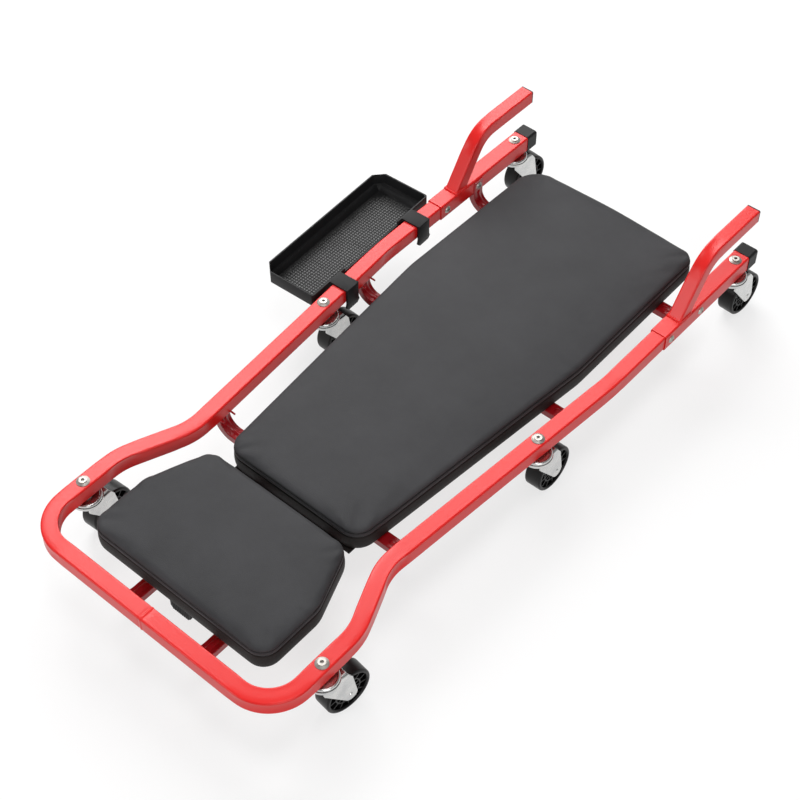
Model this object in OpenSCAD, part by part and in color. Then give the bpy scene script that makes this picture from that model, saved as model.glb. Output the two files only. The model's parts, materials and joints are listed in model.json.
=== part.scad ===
// Mechanic creeper: a bent square-tube frame on six swivel casters, a backrest pad,
// a tilting headrest, a lift-off tool tray and two handles at the foot end.
// The length runs along Y with the headrest toward -Y, +X is the right of a user who lies
// on the back, and the floor is Z = 0.

/* [Frame] */
// Floor to the top face of the side rails
rail_top = 126; // [124:0.5:132]
// Outside size of the square frame tube
tube_size = 25.4; // [25:0.1:26]
// Wall of the frame tube
tube_wall = 1.5; // [1.4:0.1:1.8]
// Outside corner radius of the frame tube
tube_corner = 2.5; // [2:0.1:3]
// Length over the front tube and the end caps
frame_length = 1108.4; // [1080:0.4:1150]
// Distance between the tube centres across the head end
head_span = 451; // [444:1:458]
// Distance between the tube centres at the neck bends
neck_span = 365; // [358:1:372]
// Distance between the tube centres across the foot end
foot_span = 438.4; // [432:0.4:446]
// Bend radius of the head corners at the tube centre
corner_bend = 57.5; // [50:0.5:65]
// Bend radius of the shoulder and neck bends at the tube centre
neck_bend = 60; // [50:1:70]
// Bend radius of the slight bend at the waist
waist_bend = 300; // [200:10:400]
// Front tube centre to the shoulder bend
shoulder_reach = 159.5; // [155:0.5:165]
// Front tube centre to the neck bend
neck_reach = 262.8; // [258:0.2:268]
// Outside of the end caps to the waist bend
waist_setback = 374.2; // [360:0.2:386]

/* [Foot tubes] */
// Wall of the foot tube, which the rail slides into
foot_wall = 1.5; // [1.4:0.1:1.8]
// Length of the foot tube inside its end cap and out to its front end
foot_length = 246.8; // [240:0.2:252]
// Length of the rail end inside the foot tube
rail_insert = 45; // [38:1:50]
// Foot tube front end to the bolt that holds the rail
rail_bolt_reach = 15; // [13:0.5:18]
// Length of the end cap over the foot tube
cap_length = 23; // [20:0.5:26]
// Wall of the end cap
cap_wall = 1; // [0.8:0.1:1.3]

/* [Handles] */
// Outside size of the square handle tube
handle_size = 23.5; // [22:0.5:24.5]
// Foot tube front end to the handle centre line at the weld
handle_reach = 53.2; // [50:0.1:56]
// Angle of the rising part of the handle above the floor
handle_angle = 55.8; // [50:0.2:60]
// Bend radius of the handle at the tube centre
handle_bend = 48; // [40:1:55]
// Height of the level part's centre line above the foot tube
handle_height = 79.9; // [74:0.2:90]
// Handle tip to the outside of the end cap
handle_setback = 14.2; // [8:0.2:20]

/* [Cross members] */
// Width of the pressed channels
channel_w = 22; // [20:0.5:24]
// Depth of the pressed channels
channel_depth = 12; // [11:0.5:13]
// Sheet thickness of the pressed channels
channel_t = 2; // [1.8:0.1:2.2]
// Rail top to the flat top of the cross members
member_drop = 48; // [46:0.5:50]
// Bend radius of the cross member ends on the top side
member_bend = 20; // [16:0.5:21]
// Front face of the frame to the neck cross member
neck_member_reach = 335.2; // [332:0.2:340]
// Outside of the end caps to the mid cross member
mid_member_setback = 433.2; // [418:0.2:448]
// Outside of the end caps to the foot cross member
foot_member_setback = 155; // [152:0.1:164]
// Distance between the two channels under the headrest
channel_span = 137.2; // [130:0.2:144]
// Bend radius at the front end of the headrest channels
channel_bend = 32; // [28:0.5:33]

/* [Pads] */
// Height of the backrest pad at its upper seam
backrest_edge = 34.8; // [33:0.1:38]
// Crown of the backrest pad above its upper seam
backrest_crown = 10; // [8:0.5:12]
// Height of the headrest pad at its upper seam
headrest_edge = 36.2; // [34:0.1:38]
// Crown of the headrest pad above its upper seam
headrest_crown = 9; // [8:0.5:11]
// Gap between rail and backrest beside the waist
waist_side_gap = 39.8; // [36:0.1:44]
// Gap between rail and backrest beside the neck edge
neck_side_gap = 45.6; // [42:0.1:50]
// Gap between the head tubes and the headrest
head_side_gap = 48.3; // [45:0.1:54]
// Gap between the front tube and the headrest
front_gap = 36.6; // [32:0.1:40]
// Overhang of the backrest beyond the neck cross member
neck_overhang = 48.8; // [46:0.1:52]
// Overhang of the backrest beyond the foot cross member
foot_overhang = 96.4; // [92:0.1:100]
// Gap between the two pads at their seams
pad_gap = 23.7; // [21:0.1:26]
// Thickness of the boards under the pads
board_t = 5; // [4.5:0.1:6]

/* [Headrest hinge] */
// Depth of the two hinge arms
arm_depth = 20.4; // [19.4:0.1:22]
// Width of the two hinge arms
arm_w = 18; // [17:0.5:18]
// Diameter of the hinge pins
hinge_pin_d = 6; // [5:0.5:7]
// Height of the hinge pin above the channel
hinge_height = 9.5; // [9.2:0.1:10]
// Hinge pin to the rear seam of the headrest
hinge_setback = 2; // [1:0.5:4]

/* [Casters] */
// Wheel diameter
wheel_d = 75; // [72:0.5:77]
// Wheel width
wheel_w = 27.6; // [26:0.2:29]
// Horizontal distance from the swivel axis to the axle
trail = 31.5; // [30:0.5:34]
// Diameter of the swivel race
race_d = 46; // [44:0.5:46.5]
// Diameter of the fork's crown
crown_d = 48; // [47.5:0.5:50]
// Front face of the frame to the head caster bolts
head_caster_reach = 106.3; // [98:0.1:116]
// Outside of the end caps to the mid caster bolts
mid_caster_setback = 528; // [508:0.2:548]
// Outside of the end caps to the foot caster bolts
foot_caster_setback = 41.2; // [38:0.2:44]
// Diameter of the caster bolts
caster_bolt_d = 10; // [9:0.5:10.5]

/* [Tool tray] */
// Length of the tray
tray_length = 290; // [270:1:296]
// Width of the tray
tray_w = 102.7; // [92:0.1:112]
// Height of the upper wall, from the rim to the step
tray_wall_h = 22; // [18:0.5:26]
// Height of the lower wall, from the step to the underside
tray_well_h = 12.5; // [10:0.5:15]
// Wall thickness of the tray
tray_t = 2.5; // [2:0.1:3]
// Angle between the tray and the length of the frame
tray_turn = 2.8; // [2.6:0.1:3]
// Distance between the two hooks
hook_span = 180.6; // [168:0.2:186]
// Width of the hooks
hook_w = 27; // [24:0.5:30]
// Length of the hook legs below the rail top
hook_drop = 39; // [36:0.5:44]

/* [Hidden] */
$fn = 48;
over = 1;
tube_half = tube_size / 2;
frame_z = rail_top - tube_half;
tube_base = rail_top - tube_size;

// Places along the length, before the shift to the middle of the box
front_face = -frame_length / 2;
cap_face = frame_length / 2;
front_c = front_face + tube_half;
shoulder_y = front_c + shoulder_reach;
neck_y = front_c + neck_reach;
waist_y = cap_face - waist_setback;
head_half = head_span / 2;
neck_half = neck_span / 2;
foot_half = foot_span / 2;

// Foot tubes and caps
foot_corner = 3;
slip_fit = 0.1;
foot_size = tube_size + 2 * slip_fit + 2 * foot_wall;
cap_end = 1.5;
cap_fit = 0.05;
foot_end = cap_face - cap_end;
foot_start = foot_end - foot_length;
foot_base = frame_z - foot_size / 2;
foot_top = frame_z + foot_size / 2;

// Side bolts and their barrel nuts
side_bolt_d = 6;
barrel_d = 8;
barrel_gap = 2;
barrel_floor = 2;
shank_gap = 3;
side_head_d = 13;
side_head_h = 3.5;
bolt_play = 0.2;
socket_af = 4;
socket_depth = 2;

// Handles
handle_wall = 1.5;
handle_corner = 2.5;
plug_flange = 2;
plug_stub = 12;
plug_fit = 0.1;
plug_wall = 1.5;

// Cross members and headrest channels
channel_r = 2;
member_z = rail_top - member_drop;
channel_z = member_z - channel_depth;
member_inset = 3;
channel_inset = 1.5;
bead_r = 6;
bead_h = 2;
bead_tail = 12;
bead_head = 1.5;
tab_rise = 10;
channel_half = channel_span / 2;
neck_member_y = front_face + neck_member_reach;
mid_member_y = cap_face - mid_member_setback;
foot_member_y = cap_face - foot_member_setback;
channel_front = front_face + tube_size - channel_inset;
channel_rear = neck_member_y + channel_w / 2;

// Pads and boards
soft_gap = 0.3;
board_inset = 8;
board_fit = 0.3;
pad_edge_r = 3;
bulge = 1.8;
roll = 7.5;
seam_depth = 1.2;
shoulder_w = 8;
shoulder_h = 7;
neck_corner = 31;
foot_corner_r = 43;
waist_blend = 160;
foot_taper = 4;
foot_bow = 5.7;
bow_blend = 900;
front_corner = 26;
side_blend = 42;
rear_corner = 26;
side_length = 104;
rear_taper = 36.7;
station = 85;
backrest_neck_y = neck_member_y - neck_overhang;
backrest_foot_y = foot_member_y + foot_overhang;
headrest_rear_y = backrest_neck_y - pad_gap;
headrest_front_y = front_face + tube_size + front_gap;
backrest_base = member_z + soft_gap;
// Inset and height of the underside rounding, in shares of its radius
underside_shares = [[1, 0], [0.3, 0.3], [0, 1]];
// Bulge and height of the side band, in shares of the bulge and of the band
band_shares = [[0.8, 0.3], [1, 0.55], [0.7, 0.8]];
// Bulge and height of the roll between the two seams, in shares of the bulge and of the roll
roll_shares = [[0.3, 0.22], [0.45, 0.5], [0.3, 0.78]];
// Inset and height of the shoulder above the upper seam, in shares of its width and height
shoulder_shares = [[-0.07, 0.17], [-0.07, 0.37], [0.08, 0.63], [0.38, 0.86], [1, 1]];
// Way from the shoulder to the spine of the pad, in shares of the whole way
crown_shares = [0.12, 0.3, 0.5, 0.72, 0.93];

// Headrest hinge and grip
arm_t = 2;
arm_r = 2;
seat_gap = 0.3;
running_fit = 0.05;
side_play = 0.3;
ear_t = 2.5;
ear_r = 6.5;
bracket_base = 2.5;
bracket_length = 24;
pin_head_d = 10;
pin_head_h = 2.5;
arm_front_gap = 18;
arm_nose = 8;
arm_slope = 14;
arm_base = channel_z + seat_gap;
arm_top = arm_base + arm_depth;
headrest_base = arm_top + soft_gap;
hinge_y = headrest_rear_y - hinge_setback;
hinge_z = channel_z + hinge_height;
bracket_w = arm_w - 2 * arm_t - 2 * side_play;
grip_plate_w = 70;
grip_plate_l = 26;
grip_plate_t = 2.5;
grip_w = 38;
grip_h = 23;
grip_t = 4;
grip_bevel = 5;
grip_edge_gap = 5;
grip_ribs = 9;
grip_rib_r = 0.8;

// Screws
screw_d = 4;
screw_head_d = 8;
screw_head_h = 2.6;
screw_bite = 4;
member_screw_span = 176;
arm_screw_front = 150;
arm_screw_rear = 30;
grip_screw_span = 54;

// Casters
wheel_r = wheel_d / 2;
wheel_edge = 3;
rim_t = 4.5;
wheel_web = 4;
hub_r = 9;
rib_count = 13;
rib_t = 1.8;
rib_depth = 2.5;
ring_r = 20;
axle_d = 6;
rivet_d = 8.5;
rivet_h = 2;
fork_t = 2.8;
fork_play = 1.7;
fork_round = 6;
tip_r = 10.5;
leg_front = 13;
leg_front_drop = 12;
leg_back = 35;
leg_crop = 8;
leg_crop_drop = 12;
crown_rim_w = 2.2;
crown_rim_h = 1.6;
ball_d = 4;
ball_ring_r = 16.5;
ball_count = 12;
ball_drop = 7.3;
race_boss_r = 8.5;
race_boss_slope = 1;
dish_drop = 4.4;
dish_t = 1.9;
ridge_r = 2.4;
ridge_drop = 2.95;
skirt_t = 2.5;
skirt_drop = 7.5;
sleeve_wall = 1.3;
caster_bolt_fit = 0.2;
bolt_head_d = 19.5;
bolt_rim_h = 0.8;
bolt_dome_h = 2.6;
bolt_boss_d = 11.5;
bolt_boss_h = 3.9;
bolt_socket_af = 5;
bolt_socket_depth = 2.5;
nut_af = 16;
nut_h = 8;
nut_flange_d = 18;
nut_flange_h = 1.5;
bolt_stub = 1.5;
fork_half = wheel_w / 2 + fork_play + fork_t;
hub_half = wheel_w / 2 + fork_play - side_play;
race_hole_r = caster_bolt_d / 2 + caster_bolt_fit;
sleeve_r = race_hole_r + sleeve_wall;
crown_top = tube_base - ball_drop - ball_d / 2 - seat_gap;
crown_base = crown_top - fork_t;
sleeve_base = crown_base - seat_gap;
head_caster_y = front_face + head_caster_reach;
mid_caster_y = cap_face - mid_caster_setback;
foot_caster_y = cap_face - foot_caster_setback;
// Caster places: side, distance along the frame, and turn of the trail from straight back
CASTERS = [
    [-1, head_caster_y, 3], [1, head_caster_y, -7],
    [-1, mid_caster_y, -2], [1, mid_caster_y, 1],
    [-1, foot_caster_y, -4.2], [1, foot_caster_y, -2.4]
];

// Tool tray
tray_gap = 1;
tray_middle = 13;
tray_bevel = 16.5;
tray_inner_bevel = 3;
tray_rim_rise = 3.2;
tray_ledge = 4.5;
well_slope = 6;
well_slice = 0.3;
hook_t = 3;
hook_leg_t = 3.5;
hook_play = 5;
hook_rest = 0.2;
hook_flare_w = 2;
hook_flare_h = 12;
hook_clip = 5;
notch_drop = 7;
notch_margin = 10;
rib_w = 2;
rib_rise = 2.5;
rib_place = 46;
tray_rim = rail_top + tray_rim_rise;
tray_step = tray_rim - tray_wall_h;
tray_base = tray_step - tray_well_h;

// Shift that puts the origin under the middle of the whole object
tray_x = -foot_half - tube_half - tray_gap;
tray_reach = -tray_x + tray_w * cos(tray_turn)
    + (tray_length / 2 - tray_middle - tray_bevel) * sin(tray_turn);
shift_x = (tray_reach - head_half - crown_d / 2) / 2;
shift_y = -(foot_caster_y + trail + wheel_r - cap_face) / 2;

RED = "#d0202c";
DARK_RED = "#8c1420";
BLACK = "#202022";
VINYL = "#3a3a3c";
ZINC = "#c8c8c6";
PLYWOOD = "#a87c50";

// Distance of the rail centre from the middle at a place between neck and waist
function rail_x(y) = y > waist_y ? foot_half
    : neck_half + (foot_half - neck_half) * (y - neck_y) / (waist_y - neck_y);
function caster_x(y) = y < shoulder_y ? head_half : rail_x(y);

// Paths and sweeps: section x points left of the travel and section y points up
function heading(v) = atan2(v[1], v[0]);
function unit(v) = v / norm(v);
function left_of(v) = [-v[1], v[0]];
function wrapped(a) = a > 180 ? a - 360 : a < -180 ? a + 360 : a;
function turn_at(p, i) = wrapped(heading(p[i + 1] - p[i]) - heading(p[i] - p[i - 1]));
function is_end(p, i) = i == 0 || i == len(p) - 1;
function setback(p, r, i) = is_end(p, i) ? 0 : r[i] * tan(abs(turn_at(p, i)) / 2);

module straight_run(p, r, i) {
    d = p[i + 1] - p[i];
    start = setback(p, r, i);
    translate(p[i]) rotate(heading(d)) translate([start, 0]) rotate([90, 0, 90])
        linear_extrude(norm(d) - start - setback(p, r, i + 1)) children();
}

module bend(p, r, i) {
    turn = turn_at(p, i);
    left = turn > 0;
    translate(p[i]) rotate(heading(p[i] - p[i - 1]))
        translate([-setback(p, r, i), left ? r[i] : -r[i]]) rotate(left ? -90 : 90 + turn)
            rotate_extrude(angle = abs(turn)) translate([r[i], 0]) rotate(left ? 180 : 0) children();
}

module swept(p, r) {
    for (i = [0 : len(p) - 2]) straight_run(p, r, i) children();
    for (i = [1 : len(p) - 2]) bend(p, r, i) children();
}

// Drawings in plan turned upright: across the frame, and along it
module upright_across(y) {
    translate([0, y]) rotate([90, 0, 0]) children();
}

module upright_along(x) {
    translate([x, 0]) rotate([90, 0, 90]) children();
}

module placed() {
    translate([shift_x, shift_y]) children();
}

module rounded_square(s, r) {
    square([s, s - 2 * r], center = true);
    square([s - 2 * r, s], center = true);
    for (x = [-1, 1], y = [-1, 1]) translate([x, y] * (s / 2 - r)) circle(r);
}

module tube_section(s, wall, r) {
    difference() {
        rounded_square(s, r);
        rounded_square(s - 2 * wall, r - wall);
    }
}

// Bent square tube as one closed shell: rings of the section follow the path through its bends
bend_step = 7.5;
corner_steps = 3;
function corner_points(s, r) = [for (i = [0 : 3], j = [0 : corner_steps])
    let (a = 90 * (i + j / corner_steps)) (s / 2 - r) * [i == 0 || i == 3 ? 1 : -1, i < 2 ? 1 : -1]
        + r * [cos(a), sin(a)]];
function bend_frames(p, r, i) = let (
        turn = turn_at(p, i),
        d = unit(p[i] - p[i - 1]),
        side = turn > 0 ? r[i] : -r[i],
        c = p[i] - d * setback(p, r, i) + left_of(d) * side,
        k = ceil(abs(turn) / bend_step)
    ) [for (j = [0 : k]) let (h = heading(d) + turn * j / k) [c + side * [sin(h), -cos(h)], h]];
function frames(p, r) = [for (i = [0 : len(p) - 1])
    each i == 0 ? [[p[0], heading(p[1] - p[0])]]
        : i == len(p) - 1 ? [[p[i], heading(p[i] - p[i - 1])]] : bend_frames(p, r, i)];
function section_ring(f, pts) = [for (q = pts)
    [f[0][0] - q[0] * sin(f[1]), f[0][1] + q[0] * cos(f[1]), q[1]]];

module bent_tube(p, r, s, wall, corner) {
    path = frames(p, r);
    rings = [corner_points(s, corner), corner_points(s - 2 * wall, corner - wall)];
    m = len(path);
    n = len(rings[0]);
    points = [for (ring = rings, f = path) each section_ring(f, ring)];
    sides = [for (k = [0 : m - 2], i = [0 : n - 1])
        let (a = k * n + i, b = k * n + (i + 1) % n) each [[a, b, b + n, a + n],
            [a + n * m, a + n + n * m, b + n + n * m, b + n * m]]];
    ends = [for (i = [0 : n - 1]) let (j = (i + 1) % n, e = n * (m - 1))
        each [[i, i + n * m, j + n * m, j], [e + i, e + j, e + j + n * m, e + i + n * m]]];
    polyhedron(points, concat(sides, ends));
}

// Pressed channel with its web at x = 0 and its flanges toward -x
module channel_section(w, depth, t, r) {
    difference() {
        union() {
            translate([-depth, -w / 2]) square([depth - r, w]);
            translate([-r, r - w / 2]) square([r, w - 2 * r]);
            for (y = [-1, 1]) translate([-r, y * (w / 2 - r)]) circle(r);
        }
        translate([-depth - over, t - w / 2]) square([depth + over - t, w - 2 * t]);
    }
}

// Stiffening bead pressed up out of the web
module bead_section() {
    intersection() {
        translate([bead_h - bead_r, 0]) circle(bead_r);
        translate([-channel_t / 2, -bead_r]) square(2 * bead_r);
    }
}

module bead_end() {
    rotate_extrude() intersection() {
        translate([0, bead_h - bead_r]) circle(bead_r);
        translate([0, -channel_t / 2]) square(2 * bead_r);
    }
}

// Bead through bend i of a path, with a straight tail on each side
module bead(p, r, i, before, after) {
    bend(p, r, i) bead_section();
    d_in = p[i] - p[i - 1];
    d_out = p[i + 1] - p[i];
    t = setback(p, r, i);
    translate(p[i]) rotate(heading(d_in)) translate([-t - before, 0]) {
        rotate([90, 0, 90]) linear_extrude(before) bead_section();
        rotate([-90, 0, 0]) bead_end();
    }
    translate(p[i]) rotate(heading(d_out)) translate([t, 0]) {
        rotate([90, 0, 90]) linear_extrude(after) bead_section();
        translate([after, 0]) rotate([-90, 0, 0]) bead_end();
    }
}

module hex(af, h) {
    cylinder(d = af / cos(30), h = h, $fn = 6);
}

// Low dome of diameter d and height h on z = 0
module dome(d, h) {
    r = (d * d / 4 + h * h) / (2 * h);
    rotate_extrude() intersection() {
        translate([0, h - r]) circle(r);
        square([d, h]);
    }
}

// Frame
loop_half = [[head_half, front_c], [head_half, shoulder_y], [neck_half, neck_y],
    [foot_half, waist_y], [foot_half, foot_start + rail_insert]];
loop_bends = [corner_bend, neck_bend, neck_bend, waist_bend, 0];
loop_path = concat([for (i = [4 : -1 : 0]) [-loop_half[i][0], loop_half[i][1]]], loop_half);
loop_radii = concat([for (i = [4 : -1 : 0]) loop_bends[i]], loop_bends);

module caster_holes(from, to, z, h) {
    for (c = [from : to])
        translate([CASTERS[c][0] * caster_x(CASTERS[c][1]), CASTERS[c][1], z - over])
            cylinder(d = caster_bolt_d + 2 * caster_bolt_fit, h = h + 2 * over);
}

module side_hole(side, y) {
    translate([side * foot_half - foot_size, y, frame_z]) rotate([0, 90, 0])
        cylinder(d = barrel_d + 2 * bolt_play, h = 2 * foot_size);
}

module head_loop() {
    color(RED) placed() difference() {
        translate([0, 0, frame_z]) bent_tube(loop_path, loop_radii, tube_size, tube_wall, tube_corner);
        caster_holes(0, 3, tube_base, tube_size);
        for (side = [-1, 1]) side_hole(side, foot_start + rail_bolt_reach);
    }
}

module foot_tube(side) {
    color(RED) placed() difference() {
        translate([side * foot_half, foot_start, frame_z]) rotate([-90, 0, 0])
            linear_extrude(foot_length) tube_section(foot_size, foot_wall, foot_corner);
        side_hole(side, foot_start + rail_bolt_reach);
        side_hole(side, foot_member_y);
        caster_holes(side < 0 ? 4 : 5, side < 0 ? 4 : 5, foot_base, foot_size);
    }
}

module foot_cap(side) {
    outer = foot_size + 2 * cap_wall + 2 * cap_fit;
    inner = foot_size + 2 * cap_fit;
    color(BLACK) placed() translate([side * foot_half, cap_face, frame_z]) rotate([90, 0, 0])
        difference() {
            linear_extrude(cap_length) rounded_square(outer, foot_corner + cap_wall);
            translate([0, 0, cap_end]) linear_extrude(cap_length) rounded_square(inner, foot_corner);
        }
}

// Handles
handle_z = foot_top + handle_height;
handle_tip = cap_face - handle_setback;
handle_base = foot_start + handle_reach;
handle_corner_y = handle_base + handle_height / tan(handle_angle);
handle_path = [
    [handle_base - handle_size / tan(handle_angle), foot_top - handle_size],
    [handle_corner_y, handle_z],
    [handle_tip - plug_flange, handle_z]
];

module handle(side) {
    color(RED) placed() difference() {
        upright_along(side * foot_half)
            bent_tube(handle_path, [0, handle_bend, 0], handle_size, handle_wall, handle_corner);
        translate([side * foot_half - handle_size, foot_start - over, foot_top - 3 * handle_size])
            cube([2 * handle_size, foot_length, 3 * handle_size]);
    }
}

module handle_plug(side) {
    stub = handle_size - 2 * handle_wall - 2 * plug_fit;
    r = handle_corner - handle_wall;
    color(BLACK) placed() translate([side * foot_half, handle_tip, handle_z]) rotate([90, 0, 0])
        difference() {
            union() {
                linear_extrude(plug_flange) rounded_square(handle_size, handle_corner);
                linear_extrude(plug_flange + plug_stub) rounded_square(stub, r);
            }
            translate([0, 0, plug_flange]) linear_extrude(plug_stub + over)
                square(stub - 2 * plug_wall, center = true);
        }
}

// Cross members
module member_channel() {
    channel_section(channel_w, channel_depth, channel_t, channel_r);
}

function member_path(half, rise) = [[-half, rise], [-half, 0], [half, 0], [half, rise]];

module member(y, half, rise) {
    p = member_path(half, rise);
    r = [0, member_bend, member_bend, 0];
    upright_across(y) translate([0, member_z]) {
        swept(p, r) member_channel();
        bead(p, r, 1, bead_head, bead_tail);
        bead(p, r, 2, bead_tail, bead_head);
    }
}

module member_screw_holes(y) {
    for (side = [-1, 1])
        translate([side * member_screw_span / 2, y, member_z - channel_t - over])
            cylinder(d = screw_d + 2 * bolt_play, h = channel_t + 2 * over);
}

// Space of the rails and the front tube, which cuts off the bead ends
module rail_space() {
    translate([-head_half, front_face, tube_base]) cube([head_span, frame_length, tube_size]);
}

module rail_member(y) {
    color(DARK_RED) placed() difference() {
        member(y, rail_x(y) - tube_half + member_inset, tube_base - member_z);
        member_screw_holes(y);
        rail_space();
    }
}

module foot_cross_member() {
    half = foot_half - foot_size / 2 - channel_t;
    color(DARK_RED) placed() difference() {
        member(foot_member_y, half, frame_z + tab_rise - member_z);
        for (side = [-1, 1]) {
            translate([side > 0 ? half + channel_t : -half - channel_t - foot_size,
                foot_member_y - channel_w, foot_base]) cube([foot_size, 2 * channel_w, foot_size]);
            side_hole(side, foot_member_y);
        }
        member_screw_holes(foot_member_y);
    }
}

module headrest_channel(side) {
    p = [[channel_front, tube_base], [channel_front, channel_z], [channel_rear, channel_z]];
    r = [0, channel_bend, 0];
    color(DARK_RED) placed() difference() {
        upright_along(side * channel_half) {
            swept(p, r) member_channel();
            bead(p, r, 1, bead_head, bead_tail);
        }
        rail_space();
    }
}

// Side bolts with their heads toward +X, in barrel nuts with like heads toward -X
SIDE_BOLTS = [for (side = [-1, 1], y = [foot_start + rail_bolt_reach, foot_member_y]) [side, y]];

// Seat of a head: the tab of the foot cross member lies on the inner face of each tube
function tab_under(b, way) = b[1] == foot_member_y && b[0] != way ? channel_t : 0;
function side_seat(b, way) = b[0] * foot_half + way * (foot_size / 2 + tab_under(b, way));

module on_side_bolts(way) {
    for (b = SIDE_BOLTS) translate([side_seat(b, way), b[1], frame_z]) rotate([0, way * 90, 0]) {
        $grip = side_seat(b, 1) - side_seat(b, -1);
        children();
    }
}

module socket_head() {
    difference() {
        dome(side_head_d, side_head_h);
        translate([0, 0, side_head_h - socket_depth]) hex(socket_af, socket_depth + over);
    }
}

module side_bolts() {
    color(ZINC) placed() on_side_bolts(1) {
        socket_head();
        translate([0, 0, shank_gap - $grip]) cylinder(d = side_bolt_d, h = $grip - shank_gap);
    }
}

module side_nuts() {
    color(ZINC) placed() on_side_bolts(-1) {
        socket_head();
        translate([0, 0, barrel_gap - $grip]) difference() {
            cylinder(d = barrel_d, h = $grip - barrel_gap);
            translate([0, 0, -over])
                cylinder(d = side_bolt_d, h = $grip - barrel_gap - barrel_floor + over);
        }
    }
}

// Casters
module at_caster(c) {
    placed() translate([CASTERS[c][0] * caster_x(CASTERS[c][1]), CASTERS[c][1]])
        rotate(CASTERS[c][2]) children();
}

module on_casters() {
    for (c = [0 : len(CASTERS) - 1]) at_caster(c) {
        $high = c < 4 ? rail_top : foot_top;
        $low = c < 4 ? tube_base : foot_base;
        children();
    }
}

module caster_bolts() {
    color(ZINC) on_casters() {
        translate([0, 0, $high]) difference() {
            union() {
                cylinder(d = bolt_head_d, h = bolt_rim_h);
                translate([0, 0, bolt_rim_h]) dome(bolt_head_d, bolt_dome_h);
                cylinder(d = bolt_boss_d, h = bolt_boss_h);
            }
            translate([0, 0, bolt_boss_h - bolt_socket_depth])
                hex(bolt_socket_af, bolt_socket_depth + over);
        }
        translate([0, 0, sleeve_base - nut_h - bolt_stub])
            cylinder(d = caster_bolt_d, h = $high - sleeve_base + nut_h + bolt_stub);
    }
}

module caster_nuts() {
    color(ZINC) on_casters() translate([0, 0, sleeve_base - nut_h]) difference() {
        union() {
            hex(nut_af, nut_h);
            translate([0, 0, nut_h - nut_flange_h]) cylinder(d = nut_flange_d, h = nut_flange_h);
        }
        translate([0, 0, -over]) cylinder(d = caster_bolt_d, h = nut_h + 2 * over);
    }
}

// Dished upper race below z = 0, the underside of the rails: boss, dish, rolled ridge, skirt and sleeve.
// low is the underside of its own tube.
module race_profile(low) {
    r = race_d / 2;
    roof = ball_d / 2 + running_fit - ball_drop;
    polygon([
        [race_hole_r, low], [race_boss_r, low], [race_boss_r + race_boss_slope, -dish_drop],
        [r - ridge_r, -dish_drop], [r, -ridge_drop - ridge_r], [r, -skirt_drop],
        [r - skirt_t, -skirt_drop], [r - skirt_t, roof], [ball_ring_r - ball_d / 2, roof],
        [ball_ring_r - ball_d, -dish_drop - dish_t], [sleeve_r, -dish_drop - dish_t],
        [sleeve_r, sleeve_base - tube_base], [race_hole_r, sleeve_base - tube_base]
    ]);
    translate([r - ridge_r, -ridge_drop - ridge_r]) circle(ridge_r);
}

module caster_races() {
    color(ZINC) on_casters() translate([0, 0, tube_base]) rotate_extrude()
        race_profile($low - tube_base);
}

module caster_balls() {
    color(ZINC) on_casters() for (a = [1 : ball_count]) rotate(a * 360 / ball_count)
        translate([ball_ring_r, 0, tube_base - ball_drop]) sphere(d = ball_d);
}

// Point where a line from a touches the circle of radius r about c, on the side of sign s
function touch(a, c, r, s) = let (d = norm(c - a), t = heading(c - a) + s * asin(r / d))
    a + sqrt(d * d - r * r) * [cos(t), sin(t)];

module fork_side() {
    axle = [trail, wheel_r];
    front = [-leg_front, crown_top - leg_front_drop];
    back = [leg_back, crown_top - leg_crop_drop];
    polygon([[-leg_front, crown_top], front, touch(front, axle, tip_r, -1), axle,
        touch(back, axle, tip_r, 1), back, [leg_back - leg_crop, crown_top]]);
    translate(axle) circle(tip_r);
}

module fork_bridge() {
    inner = fork_half - fork_t;
    difference() {
        union() {
            translate([-fork_half, 0]) square([2 * fork_half, crown_top - fork_round]);
            translate([fork_round - fork_half, 0]) square([2 * (fork_half - fork_round), crown_top]);
            for (x = [-1, 1]) translate([x * (fork_half - fork_round), crown_top - fork_round])
                circle(fork_round);
        }
        translate([-inner, -over]) square([2 * inner, crown_base + over - fork_round + fork_t]);
        translate([fork_round - fork_half, -over])
            square([2 * (fork_half - fork_round), crown_base + over]);
        for (x = [-1, 1]) translate([x * (fork_half - fork_round), crown_top - fork_round])
            circle(fork_round - fork_t);
    }
}

module fork(c) {
    color(ZINC) at_caster(c) difference() {
        union() {
            intersection() {
                translate([0, trail + 2 * tip_r]) rotate([90, 0, 0])
                    linear_extrude(trail + 6 * tip_r) fork_bridge();
                translate([-race_d, 0]) rotate([90, 0, 90]) linear_extrude(2 * race_d) fork_side();
            }
            translate([0, 0, crown_base]) cylinder(d = crown_d, h = fork_t);
            translate([0, 0, crown_base]) difference() {
                cylinder(d = crown_d, h = fork_t + crown_rim_h);
                translate([0, 0, fork_t / 2])
                    cylinder(d = crown_d - 2 * crown_rim_w, h = fork_t + crown_rim_h);
            }
        }
        translate([0, 0, crown_base - over]) cylinder(r = sleeve_r + running_fit, h = fork_t + 2 * over);
        translate([-fork_half - over, trail, wheel_r]) rotate([0, 90, 0])
            cylinder(d = axle_d, h = 2 * fork_half + 2 * over);
    }
}

module axle(c) {
    color(ZINC) at_caster(c) translate([0, trail, wheel_r]) {
        translate([-fork_half, 0, 0]) rotate([0, 90, 0]) cylinder(d = axle_d, h = 2 * fork_half);
        for (side = [-1, 1]) translate([side * fork_half, 0, 0]) rotate([0, side * 90, 0])
            dome(rivet_d, rivet_h);
    }
}

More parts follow.
